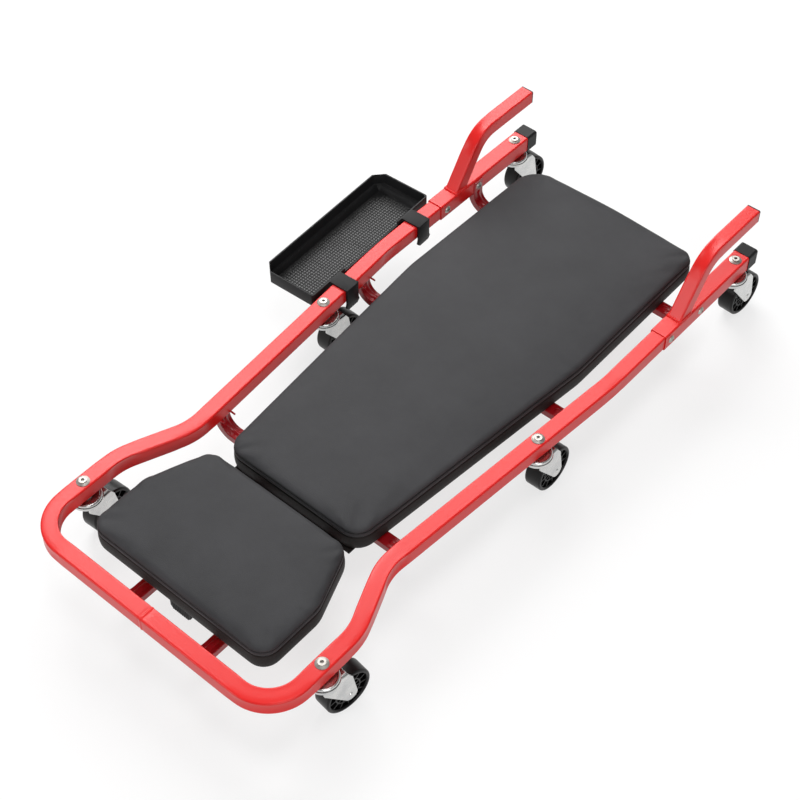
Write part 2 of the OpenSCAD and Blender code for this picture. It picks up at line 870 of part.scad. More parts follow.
// Half of the wheel's cross-section: rim with rounded edges, web and hub
module wheel_profile() {
    half = wheel_w / 2;
    translate([wheel_r - rim_t, wheel_edge - half]) square([rim_t, wheel_w - 2 * wheel_edge]);
    translate([wheel_r - rim_t, -half]) square([rim_t - wheel_edge, wheel_w]);
    for (z = [-1, 1]) translate([wheel_r - wheel_edge, z * (half - wheel_edge)]) circle(wheel_edge);
    translate([hub_r - rib_t, -wheel_web / 2]) square([wheel_r - rim_t - hub_r + 2 * rib_t, wheel_web]);
    translate([ring_r, -half + rib_depth]) square([rib_t, wheel_w - 2 * rib_depth]);
    bore_r = axle_d / 2 + running_fit;
    translate([bore_r, -hub_half]) square([hub_r - bore_r, 2 * hub_half]);
}

module wheel(c) {
    color(BLACK) at_caster(c) translate([0, trail, wheel_r]) rotate([0, 90, 0]) {
        rotate_extrude() wheel_profile();
        for (a = [1 : rib_count]) rotate(a * 360 / rib_count)
            translate([hub_r - rib_t, -rib_t / 2, rib_depth - wheel_w / 2])
                cube([wheel_r - rim_t - hub_r + 2 * rib_t, rib_t, wheel_w - 2 * rib_depth]);
    }
}

// Outlines: convex, counter-clockwise, with a radius and a number of steps at each corner
function at(p, i) = p[(i + len(p)) % len(p)];
function corner_arc(v, r, k, i) = let (
        d1 = unit(at(v, i) - at(v, i - 1)),
        d2 = unit(at(v, i + 1) - at(v, i)),
        turn = wrapped(heading(d2) - heading(d1)),
        c = at(v, i) - d1 * r[i] * tan(turn / 2) + left_of(d1) * r[i]
    ) [for (j = [0 : k[i]]) let (a = heading(d1) - 90 + turn * j / k[i]) c + r[i] * [cos(a), sin(a)]];
function rounded(v, r, k) = [for (i = [0 : len(v) - 1]) each corner_arc(v, r, k, i)];
function stations(p, reach) = [for (i = [0 : len(p) - 1])
    let (q = at(p, i + 1), n = ceil(norm(q - p[i]) / reach)) for (j = [0 : n - 1]) p[i] + (q - p[i]) * j / n];
function inset(p, d) = [for (i = [0 : len(p) - 1])
    p[i] + left_of(unit(unit(at(p, i + 1) - p[i]) + unit(p[i] - at(p, i - 1)))) * d];
function mirrored(v) = concat(v, [for (i = [len(v) - 1 : -1 : 0]) [-v[i][0], v[i][1]]]);
function echoed(v) = concat(v, [for (i = [len(v) - 1 : -1 : 0]) v[i]]);

waist_w = foot_half - tube_half - waist_side_gap;
neck_w = rail_x(backrest_neck_y) - tube_half - neck_side_gap;
backrest_outline = rounded(
    concat([[0, backrest_foot_y]], mirrored([[-waist_w + foot_taper, backrest_foot_y - foot_bow],
        [-waist_w, waist_y], [-neck_w, backrest_neck_y]])),
    concat([bow_blend], echoed([foot_corner_r, waist_blend, neck_corner])),
    concat([1], echoed([6, 1, 5])));

headrest_w = head_half - tube_half - head_side_gap;
headrest_outline = rounded(
    mirrored([[headrest_w, headrest_front_y], [headrest_w, headrest_front_y + side_length],
        [headrest_w - rear_taper, headrest_rear_y]]),
    echoed([front_corner, side_blend, rear_corner]), echoed([6, 2, 6]));

// Cushion with a rebate for its board, drawn-in sides, a roll between two seams, a shoulder and a crown
function pad_profile(edge) = let (band = edge - roll - pad_edge_r) concat(
    [[board_inset, board_t + board_fit], [board_inset, 0]],
    [for (s = underside_shares) s * pad_edge_r],
    [for (s = band_shares) [-s[0] * bulge, pad_edge_r + s[1] * band]],
    [[seam_depth, edge - roll]],
    [for (s = roll_shares) [-s[0] * bulge, edge - roll + s[1] * roll]],
    [[seam_depth, edge]],
    [for (s = shoulder_shares) [s[0] * shoulder_w, edge + s[1] * shoulder_h]]);
function spine(p, half, low, high) = [0, min(max(p[1], low + half), high - half)];
function crown_ring(p, s, half, low, high) =
    [for (q = p) let (c = spine(q, half, low, high)) q + (c - q) * s];
function lifted(p, z) = [for (q = p) [q[0], q[1], z]];

module pad(outline, edge, crown, half, low, high) {
    p = stations(outline, station);
    top = inset(p, shoulder_w);
    rings = concat(
        [for (q = pad_profile(edge)) lifted(inset(p, q[0]), q[1])],
        [for (s = crown_shares)
            lifted(crown_ring(top, s, half, low, high),
                edge + shoulder_h + (crown - shoulder_h) * (1 - pow(1 - s, 3)))]);
    n = len(p);
    m = len(rings);
    middle = [0, (low + high) / 2];
    points = concat([for (ring = rings) each ring],
        [[middle[0], middle[1], board_t + board_fit], [middle[0], middle[1], edge + crown]]);
    faces = concat(
        [for (k = [0 : m - 2], i = [0 : n - 1]) let (a = k * n + i, b = k * n + (i + 1) % n)
            each [[a, b + n, b], [a, a + n, b + n]]],
        [for (i = [0 : n - 1]) [i, (i + 1) % n, n * m]],
        [for (i = [0 : n - 1]) [n * (m - 1) + (i + 1) % n, n * (m - 1) + i, n * m + 1]]);
    polyhedron(points, faces);
}

module board(outline, z) {
    translate([0, 0, z]) linear_extrude(board_t) polygon(inset(outline, board_inset + board_fit));
}

module backrest_pad() {
    color(VINYL) placed() translate([0, 0, backrest_base])
        pad(backrest_outline, backrest_edge, backrest_crown, waist_w, backrest_neck_y, backrest_foot_y);
}

module backrest_board() {
    color(PLYWOOD) placed() difference() {
        board(backrest_outline, member_z);
        for (y = [neck_member_y, mid_member_y, foot_member_y], side = [-1, 1])
            translate([side * member_screw_span / 2, y, member_z - over])
                cylinder(d = screw_d, h = screw_bite + over);
    }
}

// Screw with its head below z = 0 and its shank up through a sheet of thickness t
module board_screw(t) {
    translate([0, 0, -t]) {
        cylinder(d = screw_d, h = t + screw_bite);
        rotate([180, 0, 0]) dome(screw_head_d, screw_head_h);
    }
}

module backrest_screws() {
    color(ZINC) placed() for (y = [neck_member_y, mid_member_y, foot_member_y], side = [-1, 1])
        translate([side * member_screw_span / 2, y, member_z]) board_screw(channel_t);
}

// Headrest
ARM_SCREWS = [for (side = [-1, 1], reach = [arm_screw_front, arm_screw_rear])
    [side * channel_half, hinge_y - reach]];
grip_y = headrest_front_y + grip_edge_gap;
GRIP_SCREWS = [for (side = [-1, 1]) [side * grip_screw_span / 2, grip_y + grip_plate_l / 2]];

module headrest_pad() {
    color(VINYL) placed() translate([0, 0, headrest_base])
        pad(headrest_outline, headrest_edge, headrest_crown,
            (headrest_rear_y - headrest_front_y) / 2, headrest_front_y, headrest_rear_y);
}

module headrest_board() {
    color(PLYWOOD) placed() difference() {
        board(headrest_outline, arm_top);
        for (s = concat(ARM_SCREWS, GRIP_SCREWS)) translate([s[0], s[1], arm_top - over])
            cylinder(d = screw_d, h = screw_bite + over);
    }
}

module headrest_screws() {
    color(ZINC) placed() {
        for (s = ARM_SCREWS) translate([s[0], s[1], arm_top]) board_screw(arm_t);
        for (s = GRIP_SCREWS) translate([s[0], s[1], arm_top]) board_screw(grip_plate_t);
    }
}

module arm_side() {
    front = headrest_front_y + arm_front_gap;
    polygon([[front, arm_top], [front, arm_top - arm_nose], [front + arm_slope, arm_base],
        [hinge_y, arm_base], [hinge_y, arm_top]]);
    intersection() {
        translate([hinge_y, hinge_z]) circle(hinge_z - arm_base);
        translate([hinge_y - over, arm_base]) square([2 * arm_depth, arm_depth]);
    }
}

module hinge_arm(side) {
    color(DARK_RED) placed() translate([side * channel_half, 0]) difference() {
        intersection() {
            translate([0, headrest_front_y, arm_top]) rotate([0, -90, -90])
                linear_extrude(headrest_rear_y - headrest_front_y + arm_depth)
                    channel_section(arm_w, arm_depth, arm_t, arm_r);
            translate([-arm_w, 0]) rotate([90, 0, 90]) linear_extrude(2 * arm_w) arm_side();
        }
        translate([-arm_w, hinge_y, hinge_z]) rotate([0, 90, 0])
            cylinder(d = hinge_pin_d + 2 * running_fit, h = 2 * arm_w);
        for (reach = [arm_screw_front, arm_screw_rear])
            translate([0, hinge_y - reach, arm_top - arm_t - over])
                cylinder(d = screw_d + 2 * bolt_play, h = arm_t + 2 * over);
    }
}

module bracket_side() {
    translate([hinge_y - bracket_length / 2, channel_z]) square([bracket_length, bracket_base]);
    translate([hinge_y - ear_r, channel_z]) square([2 * ear_r, hinge_height]);
    translate([hinge_y, hinge_z]) circle(ear_r);
}

module hinge_bracket(side) {
    slot_w = bracket_w - 2 * ear_t;
    color(DARK_RED) placed() translate([side * channel_half, 0]) difference() {
        translate([-bracket_w / 2, 0]) rotate([90, 0, 90]) linear_extrude(bracket_w) bracket_side();
        translate([-slot_w / 2, hinge_y - bracket_length, channel_z + bracket_base])
            cube([slot_w, 2 * bracket_length, 2 * ear_r + hinge_height]);
        translate([-bracket_w, hinge_y, hinge_z]) rotate([0, 90, 0])
            cylinder(d = hinge_pin_d, h = 2 * bracket_w);
    }
}

module hinge_pins() {
    half = arm_w / 2 + side_play;
    color(ZINC) placed() for (side = [-1, 1]) translate([side * channel_half, hinge_y, hinge_z]) {
        translate([-half, 0, 0]) rotate([0, 90, 0]) cylinder(d = hinge_pin_d, h = 2 * half);
        for (end = [-1, 1]) translate([end * half, 0, 0]) rotate([0, end * 90, 0])
            dome(pin_head_d, pin_head_h);
    }
}

module grip_outline() {
    half = grip_w / 2;
    polygon([[-half, 0], [-half, grip_bevel - grip_h], [grip_bevel - half, -grip_h],
        [half - grip_bevel, -grip_h], [half, grip_bevel - grip_h], [half, 0]]);
}

module headrest_grip() {
    z = arm_top - grip_plate_t;
    rib_pitch = (grip_w - 2 * grip_bevel) / (grip_ribs - 1);
    color(BLACK) placed() difference() {
        union() {
            translate([-grip_plate_w / 2, grip_y, z]) cube([grip_plate_w, grip_plate_l, grip_plate_t]);
            translate([0, grip_y + grip_t, z]) rotate([90, 0, 0]) linear_extrude(grip_t) grip_outline();
            for (i = [0 : grip_ribs - 1])
                translate([(i - (grip_ribs - 1) / 2) * rib_pitch, grip_y, z - grip_h + grip_rib_r])
                    cylinder(r = grip_rib_r, h = grip_h - grip_rib_r);
        }
        for (s = GRIP_SCREWS) translate([s[0], s[1], z - over])
            cylinder(d = screw_d + 2 * bolt_play, h = grip_plate_t + 2 * over);
    }
}

// Tool tray, drawn with its rail side on x = 0 and its middle on y = 0
module tray_outline(d, l, w) {
    b = tray_bevel - d / 2;
    n = tray_inner_bevel;
    polygon([[-d, n + d - l / 2], [-d - n, d - l / 2], [b - w, d - l / 2], [d - w, b - l / 2],
        [d - w, l / 2 - b], [b - w, l / 2 - d], [-d - n, l / 2 - d], [-d, l / 2 - d - n]]);
}

module tray_layer(d, z, h) {
    translate([0, 0, z]) linear_extrude(h) tray_outline(d, tray_length, tray_w);
}

module tray_well(d, z, h) {
    hull() {
        tray_layer(d, z + h - well_slice, well_slice);
        tray_layer(d + well_slope, z, well_slice);
    }
}

module tray_hook() {
    throat = tube_size + tray_gap + hook_play;
    top = rail_top + hook_rest;
    half = hook_w / 2;
    wide = half + hook_flare_w;
    translate([-tray_t, -half, top]) cube([throat + tray_t + hook_leg_t, hook_w, hook_t]);
    translate([throat, 0]) rotate([90, 0, 90]) linear_extrude(hook_leg_t)
        translate([0, rail_top]) polygon([
            [-half, hook_t], [-half, hook_flare_h - hook_drop],
            [-wide, hook_clip - hook_drop], [hook_clip - wide, -hook_drop],
            [wide - hook_clip, -hook_drop], [wide, hook_clip - hook_drop],
            [half, hook_flare_h - hook_drop], [half, hook_t]]);
}

module tool_tray() {
    notch_l = hook_span - hook_w - 2 * notch_margin;
    color(BLACK) placed() translate([tray_x, waist_y]) rotate(tray_turn) translate([0, -tray_middle]) {
        difference() {
            union() {
                tray_layer(0, tray_step, tray_wall_h);
                tray_well(tray_ledge, tray_base, tray_well_h + tray_t / 2);
            }
            tray_layer(tray_t, tray_step + tray_t, tray_wall_h);
            tray_well(tray_ledge + tray_t, tray_base + tray_t, tray_well_h);
            translate([-2 * tray_t, -notch_l / 2, tray_rim - notch_drop])
                cube([3 * tray_t, notch_l, tray_wall_h]);
        }
        translate([rib_place - tray_w, -tray_length / 2 + tray_t / 2, tray_step + tray_t])
            cube([rib_w, tray_t / 2 + rib_rise, tray_wall_h - tray_t]);
        for (side = [-1, 1]) translate([0, side * hook_span / 2]) tray_hook();
    }
}

head_loop();
foot_tube(-1);  // foot_tube_left
foot_tube(1);  // foot_tube_right
handle(-1);  // handle_left
handle(1);  // handle_right
handle_plug(-1);  // handle_plug_left
handle_plug(1);  // handle_plug_right
foot_cap(-1);  // foot_cap_left
foot_cap(1);  // foot_cap_right
rail_member(neck_member_y);  // neck_cross_member
rail_member(mid_member_y);  // mid_cross_member
foot_cross_member();
headrest_channel(-1);  // headrest_channel_left
headrest_channel(1);  // headrest_channel_right
side_bolts();
side_nuts();
caster_bolts();
caster_nuts();
caster_races();
caster_balls();
backrest_board();
backrest_pad();
backrest_screws();
hinge_bracket(-1);  // hinge_bracket_left
hinge_bracket(1);  // hinge_bracket_right
hinge_pins();
hinge_arm(-1);  // hinge_arm_left
hinge_arm(1);  // hinge_arm_right
headrest_board();
headrest_pad();
headrest_grip();
headrest_screws();
tool_tray();
fork(0);  // fork_head_left
fork(1);  // fork_head_right
fork(2);  // fork_mid_left
fork(3);  // fork_mid_right
fork(4);  // fork_foot_left
fork(5);  // fork_foot_right
axle(0);  // axle_head_left
axle(1);  // axle_head_right
axle(2);  // axle_mid_left
axle(3);  // axle_mid_right
axle(4);  // axle_foot_left
axle(5);  // axle_foot_right
wheel(0);  // wheel_head_left
wheel(1);  // wheel_head_right
wheel(2);  // wheel_mid_left
wheel(3);  // wheel_mid_right
wheel(4);  // wheel_foot_left
wheel(5);  // wheel_foot_right
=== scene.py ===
import json
from math import atan2, ceil, cos, exp, hypot, pi, radians, sin, tan

import bmesh
import bpy
from mathutils import Matrix, Vector, noise
from mathutils.geometry import delaunay_2d_cdt


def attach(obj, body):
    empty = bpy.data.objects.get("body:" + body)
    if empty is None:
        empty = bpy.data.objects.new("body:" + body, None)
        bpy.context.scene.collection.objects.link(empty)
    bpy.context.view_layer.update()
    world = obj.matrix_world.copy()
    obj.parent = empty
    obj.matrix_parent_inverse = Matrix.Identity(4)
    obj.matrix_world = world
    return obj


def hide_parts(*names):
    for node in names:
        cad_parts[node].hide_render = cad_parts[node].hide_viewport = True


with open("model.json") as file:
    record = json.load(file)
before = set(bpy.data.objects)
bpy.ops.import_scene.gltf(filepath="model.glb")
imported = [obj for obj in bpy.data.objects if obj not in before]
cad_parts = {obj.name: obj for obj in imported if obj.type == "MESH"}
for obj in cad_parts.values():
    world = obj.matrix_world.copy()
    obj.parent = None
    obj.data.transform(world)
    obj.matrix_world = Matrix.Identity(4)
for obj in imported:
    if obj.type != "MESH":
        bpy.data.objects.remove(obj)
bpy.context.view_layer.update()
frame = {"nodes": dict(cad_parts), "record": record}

# Shapes are drawn in millimetres about the middle between the rails; SHIFT takes them into the CAD's frame
MM = 0.001
SHIFT = Vector((45.8098, -13.9))
UP = Vector((0, 0, 1))
TINY = 1e-9
# Further along a tube than any bend or weld reaches
FAR = 100.0

# Camera: fitted to the tube edges, wheels and bolts of the photograph
camera = bpy.data.objects.new("camera", bpy.data.cameras.new("camera"))
bpy.context.scene.collection.objects.link(camera)
camera.location = (1.0876, -1.2553, 1.9507)
camera.rotation_euler = (radians(40.857), 0, radians(40.8))
camera.data.sensor_width = 36
camera.data.lens = 74.9
camera.data.clip_start = 0.05
camera.data.clip_end = 50
bpy.context.scene.camera = camera
bpy.context.scene.view_settings.view_transform = "Standard"


# Materials
def colour(code):
    """Linear colour of an sRGB hex code."""
    parts = [int(code[i:i + 2], 16) / 255 for i in (1, 3, 5)]
    return tuple(c / 12.92 if c <= 0.04045 else ((c + 0.055) / 1.055) ** 2.4 for c in parts) + (1,)


def grey(v):
    return (v, v, v, 1)


def add(tree, kind, settings=None, links=None):
    """Adds one node: settings by attribute or socket name, links by socket name from (node, output)."""
    node = tree.nodes.new(kind)
    for key, value in (settings or {}).items():
        if hasattr(node, key):
            setattr(node, key, value)
        else:
            node.inputs[key].default_value = value
    for key, (source, output) in (links or {}).items():
        tree.links.new(source.outputs[output], node.inputs[key])
    return node


def combine(tree, operation, *sources):
    """Maths node on numbers and (node, output) pairs; gives such a pair back."""
    node = add(tree, "ShaderNodeMath", {"operation": operation})
    for socket, source in zip(node.inputs, sources):
        if isinstance(source, tuple):
            tree.links.new(source[0].outputs[source[1]], socket)
        else:
            socket.default_value = source
    return node, "Value"


def ramp(tree, source, stops):
    node = add(tree, "ShaderNodeValToRGB", {}, {"Fac": source})
    first, last = node.color_ramp.elements
    first.position, first.color = stops[0]
    last.position, last.color = stops[-1]
    for position, value in stops[1:-1]:
        node.color_ramp.elements.new(position).color = value
    return node


def start(name, uniform=None):
    """A new material with its uniform values set: also its tree, its shader and its object coordinates."""
    material = bpy.data.materials.new(name)
    material.use_nodes = True
    tree = material.node_tree
    shader = tree.nodes["Principled BSDF"]
    for socket, value in (uniform or {}).items():
        shader.inputs[socket].default_value = value
    return material, tree, shader, add(tree, "ShaderNodeTexCoord")


def cloud(tree, place, scale, detail=2.0, roughness=0.5):
    """Noise on object coordinates, with about scale waves in a metre."""
    settings = {"Scale": scale, "Detail": detail, "Roughness": roughness}
    return add(tree, "ShaderNodeTexNoise", settings, {"Vector": (place, "Object")}), "Fac"


def vary(tree, shader, socket, source, stops):
    """Ramps a texture into one socket of the shader."""
    tree.links.new(ramp(tree, source, stops).outputs["Color"], shader.inputs[socket])


def emboss(tree, shader, source, strength, distance):
    """Bump from a texture, with its depth in metres."""
    bump = add(tree, "ShaderNodeBump", {"Strength": strength, "Distance": distance}, {"Height": source})
    tree.links.new(bump.outputs["Normal"], shader.inputs["Normal"])


def red_powder_coat():
    """Gloss polyester powder coat, oven cured on steel tube: an even red with a soft orange peel."""
    material, tree, shader, place = start("red_powder_coat", {"IOR": 1.5, "Specular IOR Level": 0.32})
    patches = cloud(tree, place, 14.0, 3.0)
    vary(tree, shader, "Base Color", patches, [(0.15, colour("#DC1F1E")), (0.85, colour("#E32421"))])
    vary(tree, shader, "Roughness", patches, [(0.15, grey(0.27)), (0.85, grey(0.33))])
    # Orange peel has waves of about 3 mm
    emboss(tree, shader, cloud(tree, place, 330.0), 0.12, 0.0004)
    return material


def painted_shade_powder_coat():
    """The same red coat on the pressed channels, darker than on the tubes: painted shade for the shade that
    they lie in under the cushions.
    """
    material, tree, shader, place = start("red_powder_coat_painted_shade", {"IOR": 1.5, "Roughness": 0.28})
    patches = cloud(tree, place, 22.0, 4.0)
    # Painted shade: the channels' red is darker than the tubes' red to stand for the shade under the cushions
    vary(tree, shader, "Base Color", patches, [(0.3, colour("#A80F1B")), (0.7, colour("#B5141F"))])
    emboss(tree, shader, cloud(tree, place, 330.0), 0.15, 0.0004)
    return material


def black_vinyl(name, dark, light):
    """Calendered PVC on cloth with a fine leather grain: half dull, with a soft wide gleam."""
    material, tree, shader, place = start(name, {"IOR": 1.5, "Specular IOR Level": 0.22})
    patches = cloud(tree, place, 9.0, 5.0, 0.6)
    vary(tree, shader, "Base Color", patches, [(0.32, colour(dark)), (0.68, colour(light))])
    vary(tree, shader, "Roughness", patches, [(0.3, grey(0.56)), (0.75, grey(0.66))])
    # Grain cells of about 1.6 mm, a little coarser than the real 1 mm so that they show
    warp, _ = cloud(tree, place, 240.0)
    bent = add(tree, "ShaderNodeMixRGB", {"Fac": 0.0025},
               {"Color1": (place, "Object"), "Color2": (warp, "Color")})
    cells = add(tree, "ShaderNodeTexVoronoi", {"Scale": 620.0, "feature": "DISTANCE_TO_EDGE"},
                {"Vector": (bent, "Color")})
    creases = ramp(tree, (cells, "Distance"), [(0.0, grey(0.0)), (0.18, grey(1.0))])
    emboss(tree, shader, (creases, "Color"), 0.22, 0.0005)
    return material


def thread_and_seam_shade():
    """Bonded polyester thread: near black and twisted. On the cushions' seam rows the same near black is also
    painted shade in the seam grooves.
    """
    material, tree, shader, place = start("thread_and_seam_shade", {"Roughness": 0.6})
    twist = add(tree, "ShaderNodeTexWave", {"Scale": 420.0, "bands_direction": "DIAGONAL"},
                {"Vector": (place, "Object")})
    vary(tree, shader, "Base Color", (twist, "Fac"), [(0.2, colour("#0F0F10")), (0.8, colour("#1C1C1D"))])
    return material


def bright_zinc():
    """Zinc plate with clear passivate on pressed steel: silver, with a soft gleam and faint clouds."""
    material, tree, shader, place = start("bright_zinc_plate", {"Metallic": 1.0})
    patches = cloud(tree, place, 60.0, 5.0)
    vary(tree, shader, "Base Color", patches, [(0.3, colour("#BFC0C0")), (0.7, colour("#D6D6D4"))])
    vary(tree, shader, "Roughness", patches, [(0.3, grey(0.2)), (0.7, grey(0.32))])
    emboss(tree, shader, cloud(tree, place, 700.0), 0.05, 0.0003)
    return material


def zinc_on_bolts():
    """Barrel-plated zinc on turned steel: greyer, warmer and duller than on the sheet."""
    material, tree, shader, place = start("barrel_plated_zinc", {"Metallic": 1.0})
    patches = cloud(tree, place, 150.0, 4.0)
    vary(tree, shader, "Base Color", patches, [(0.3, colour("#A19C96")), (0.7, colour("#BAB6B0"))])
    vary(tree, shader, "Roughness", patches, [(0.3, grey(0.42)), (0.7, grey(0.52))])
    return material


def pad_polypropylene_painted_light():
    """A paler, glossier copy of the tray's polypropylene for its floor pads: the paleness is painted light,
    so that the pads read lighter than the grooves between them.
    """
    material, tree, shader, place = start("pad_polypropylene_painted_light", {"IOR": 1.49})
    patches = cloud(tree, place, 35.0, 4.0)
    # Painted light: the pads are paler than the tray's shell
    vary(tree, shader, "Base Color", patches, [(0.3, colour("#191919")), (0.7, colour("#222222"))])
    vary(tree, shader, "Roughness", patches, [(0.3, grey(0.36)), (0.7, grey(0.46))])
    return material


def black_nylon():
    """Injection-moulded black nylon of the wheels: smooth and slightly waxy."""
    material, tree, shader, place = start("black_nylon", {"IOR": 1.53, "Specular IOR Level": 0.2})
    patches = cloud(tree, place, 45.0, 4.0)
    vary(tree, shader, "Base Color", patches, [(0.3, colour("#0D0D0D")), (0.7, colour("#141313"))])
    vary(tree, shader, "Roughness", patches, [(0.3, grey(0.3)), (0.7, grey(0.42))])
    return material


def black_polypropylene():
    """Moulded polypropylene with a spark-eroded texture: black and dull, with a fine grain."""
    uniform = {"Roughness": 0.5, "IOR": 1.49, "Specular IOR Level": 0.22}
    material, tree, shader, place = start("black_polypropylene", uniform)
    patches = cloud(tree, place, 30.0, 4.0)
    vary(tree, shader, "Base Color", patches, [(0.3, colour("#141415")), (0.7, colour("#1B1B1C"))])
    emboss(tree, shader, cloud(tree, place, 900.0), 0.25, 0.0003)
    return material


def birch_plywood():
    """Rotary-cut birch plywood, unfinished: pale tan, with long brown grain along the pad."""
    material, tree, shader, place = start("birch_plywood", {"Roughness": 0.75})
    stretch = add(tree, "ShaderNodeMapping", {"Scale": (55.0, 4.0, 900.0)}, {"Vector": (place, "Object")})
    fibres = add(tree, "ShaderNodeTexNoise", {"Scale": 1.0, "Detail": 5.0}, {"Vector": (stretch, "Vector")})
    tones = [(0.3, colour("#8F6B45")), (0.5, colour("#B8925F")), (0.7, colour("#C9A878"))]
    vary(tree, shader, "Base Color", (fibres, "Fac"), tones)
    emboss(tree, shader, (fibres, "Fac"), 0.15, 0.0004)
    return material


FINISH = {
    "red_tube": red_powder_coat(),
    # Painted shade: the channels' coat is darker than the tubes' coat
    "dark_red_steel": painted_shade_powder_coat(),
    "black_vinyl": black_vinyl("black_vinyl", "#2F2F31", "#3C3C3E"),
    "plywood": birch_plywood(),
    "black_plastic": black_polypropylene(),
    "zinc": bright_zinc(),
}
NYLON = black_nylon()
THREAD_AND_SEAM_SHADE = thread_and_seam_shade()
# Painted shade: a darker, browner copy of the vinyl for the cushions' side band, standing for the shade on
# their sides
BAND = black_vinyl("vinyl_band_painted_shade", "#161312", "#1D1917")
BOLTS = zinc_on_bolts()
PADS_PAINTED_LIGHT = pad_polypropylene_painted_light()

for part in frame["record"]["subparts"]:
    node = frame["nodes"][part["node"]]
    finish = FINISH[part["material_slot"]]
    if part["node"].startswith("wheel"):
        finish = NYLON
    elif part["node"] in ("caster_bolts", "side_bolts"):
        finish = BOLTS
    node.data.materials.clear()
    node.data.materials.append(finish)


# Shared by the pieces below
def place_flat(x, y, z):
    return Vector((x + SHIFT.x, y + SHIFT.y, z))


def only(piece):
    bpy.ops.object.select_all(action="DESELECT")
    piece.select_set(True)
    bpy.context.view_layer.objects.active = piece


def new_piece(name, vertices, faces, material):
    """Mesh object from vertices in millimetres."""
    mesh = bpy.data.meshes.new(name)
    mesh.from_pydata([tuple(v * MM) for v in vertices], [], faces)
    mesh.materials.append(material)
    mesh.update()
    piece = bpy.data.objects.new(name, mesh)
    bpy.context.scene.collection.objects.link(piece)
    return piece


def outward(piece):
    """Turns every face of closed shells outward."""
    work = bmesh.new()
    work.from_mesh(piece.data)
    bmesh.ops.remove_doubles(work, verts=work.verts, dist=0.001 * MM)
    bmesh.ops.recalc_face_normals(work, faces=work.faces)
    work.to_mesh(piece.data)
    work.free()


def join_shapes(name, shapes, material):
    """One smooth piece from many closed shapes, each a list of vertices and a list of faces."""
    vertices, faces = [], []
    for some, around in shapes:
        faces += [tuple(i + len(vertices) for i in face) for face in around]
        vertices += some
    piece = new_piece(name, vertices, faces, material)
    outward(piece)
    only(piece)
    bpy.ops.object.shade_smooth()
    return piece


def strip(a, b):
    """Faces between two closed rings of vertex numbers."""
    return [(a[i], a[(i + 1) % len(a)], b[(i + 1) % len(a)], b[i]) for i in range(len(a))]


def mirrored(corners):
    """The corners of one side, turned over to the other side and read back."""
    return [(-x, *others) for x, *others in reversed(corners)]


def corner_arc(a, b, c, radius, steps):
    """Points of the arc that rounds the corner at b."""
    before, after = (b - a).normalized(), (c - b).normalized()
    turn = atan2(before.x * after.y - before.y * after.x, before.dot(after))
    side = 1 if turn > 0 else -1
    middle = b - before * radius * tan(abs(turn) / 2) + Vector((-before.y, before.x)) * side * radius
    first = atan2(before.y, before.x) - side * pi / 2
    return [middle + radius * Vector((cos(first + turn * k / steps), sin(first + turn * k / steps)))
            for k in range(steps + 1)]


# Cushions. A corner is x, y and its radius. The underside lies at base, the upper seam by edge above it, and
# the top panel rises by crown over that seam.
HEADREST_SIDE = [(164.5, -492.2, 26), (164.5, -388.2, 42), (127.8, -291.5, 26)]
HEADREST = {"base": 87.0, "edge": 36.2, "crown": 9.0, "corners": HEADREST_SIDE + mirrored(HEADREST_SIDE)}
# The backrest's foot edge bows out in a wide arc
BACKREST_SIDE = [(-166.7, 180.0, 160), (-125.1, -267.8, 31)]
BACKREST_LEFT_FOOT = (-162.7, 489.9, 43)
BACKREST_RIGHT_FOOT = (162.7, 489.9, 24)
BACKREST_BOW = (0.0, 495.6, 900)
BACKREST = {"base": 78.3, "edge": 34.8, "crown": 10.0,
            "corners": [BACKREST_BOW, BACKREST_LEFT_FOOT, *BACKREST_SIDE, *mirrored(BACKREST_SIDE),
                        BACKREST_RIGHT_FOOT]}

# Steps along an outline and in each of its arcs
OUTLINE_STEP = 6.0
OUTLINE_ARC_STEPS = 40

# Grids of inner points: their pitch on top and below, and in shares of it the free rim and the rows' distance
PANEL_PITCH = 8.0
UNDERSIDE_PITCH = 40.0
RIM_SHARE = 0.75
ROW_SHARE = 0.866

# The side of a cushion as rows of (inset from the outline, height), from the board's rebate upward.
# The seams' rows count from their seam, and the roll is the fabric between the two seams.
SEAM_ROLL = 7.5
SEAM_DEEP = 2.2
TOP_RISE = 7.0
UNDERSIDE = [(8.0, 5.3), (8.0, 2.5), (8.0, 0.3), (7.5, 0.0), (5.4, 0.0), (3.0, 0.15), (1.4, 0.8), (0.3, 2.0)]
# The side band starts at BAND_LOW and bulges along this part of half a sine wave
BAND_LOW = 3.0
BAND_BULGE = 1.8
BULGE_FROM = 0.1
BULGE_SPAN = 0.8
BAND_SHARES = (0.05, 0.2, 0.35, 0.5, 0.65, 0.8)
LOWER_SEAM = [(-1.1, -1.7), (-0.4, -0.7), (SEAM_DEEP, 0.0), (-0.3, 0.7), (-0.8, 1.5), (-1.0, 2.8),
              (-1.05, SEAM_ROLL / 2)]
UPPER_SEAM = [(-1.0, -2.8), (-0.8, -1.5), (-0.3, -0.7), (SEAM_DEEP, 0.0), (-0.1, 0.7), (-0.5, 1.6),
              (-0.5, 2.6), (0.0, 3.7), (1.2, 4.8), (3.1, 5.9), (5.4, 6.6), (8.0, TOP_RISE)]
BAND_INDEX = 1
SEAM_SHADE_INDEX = 2

# Cloth: the photographed cover is taut, so a share of the swelling is kept, and MOST_MOVE at the most
PRESSURE = 4.0
KEPT_SHARE = 0.4
MOST_MOVE = 1.6
CLOTH_FRAMES = 20

# Stitches: spindles with rows of (place along the stitch, radius) between their two tips
STITCH_PITCH = 4.0
STITCH_HALF = 1.6
STITCH_INSET = 0.35
SPINDLE = ((-1.1, 0.38), (0.0, 0.5), (1.1, 0.38))


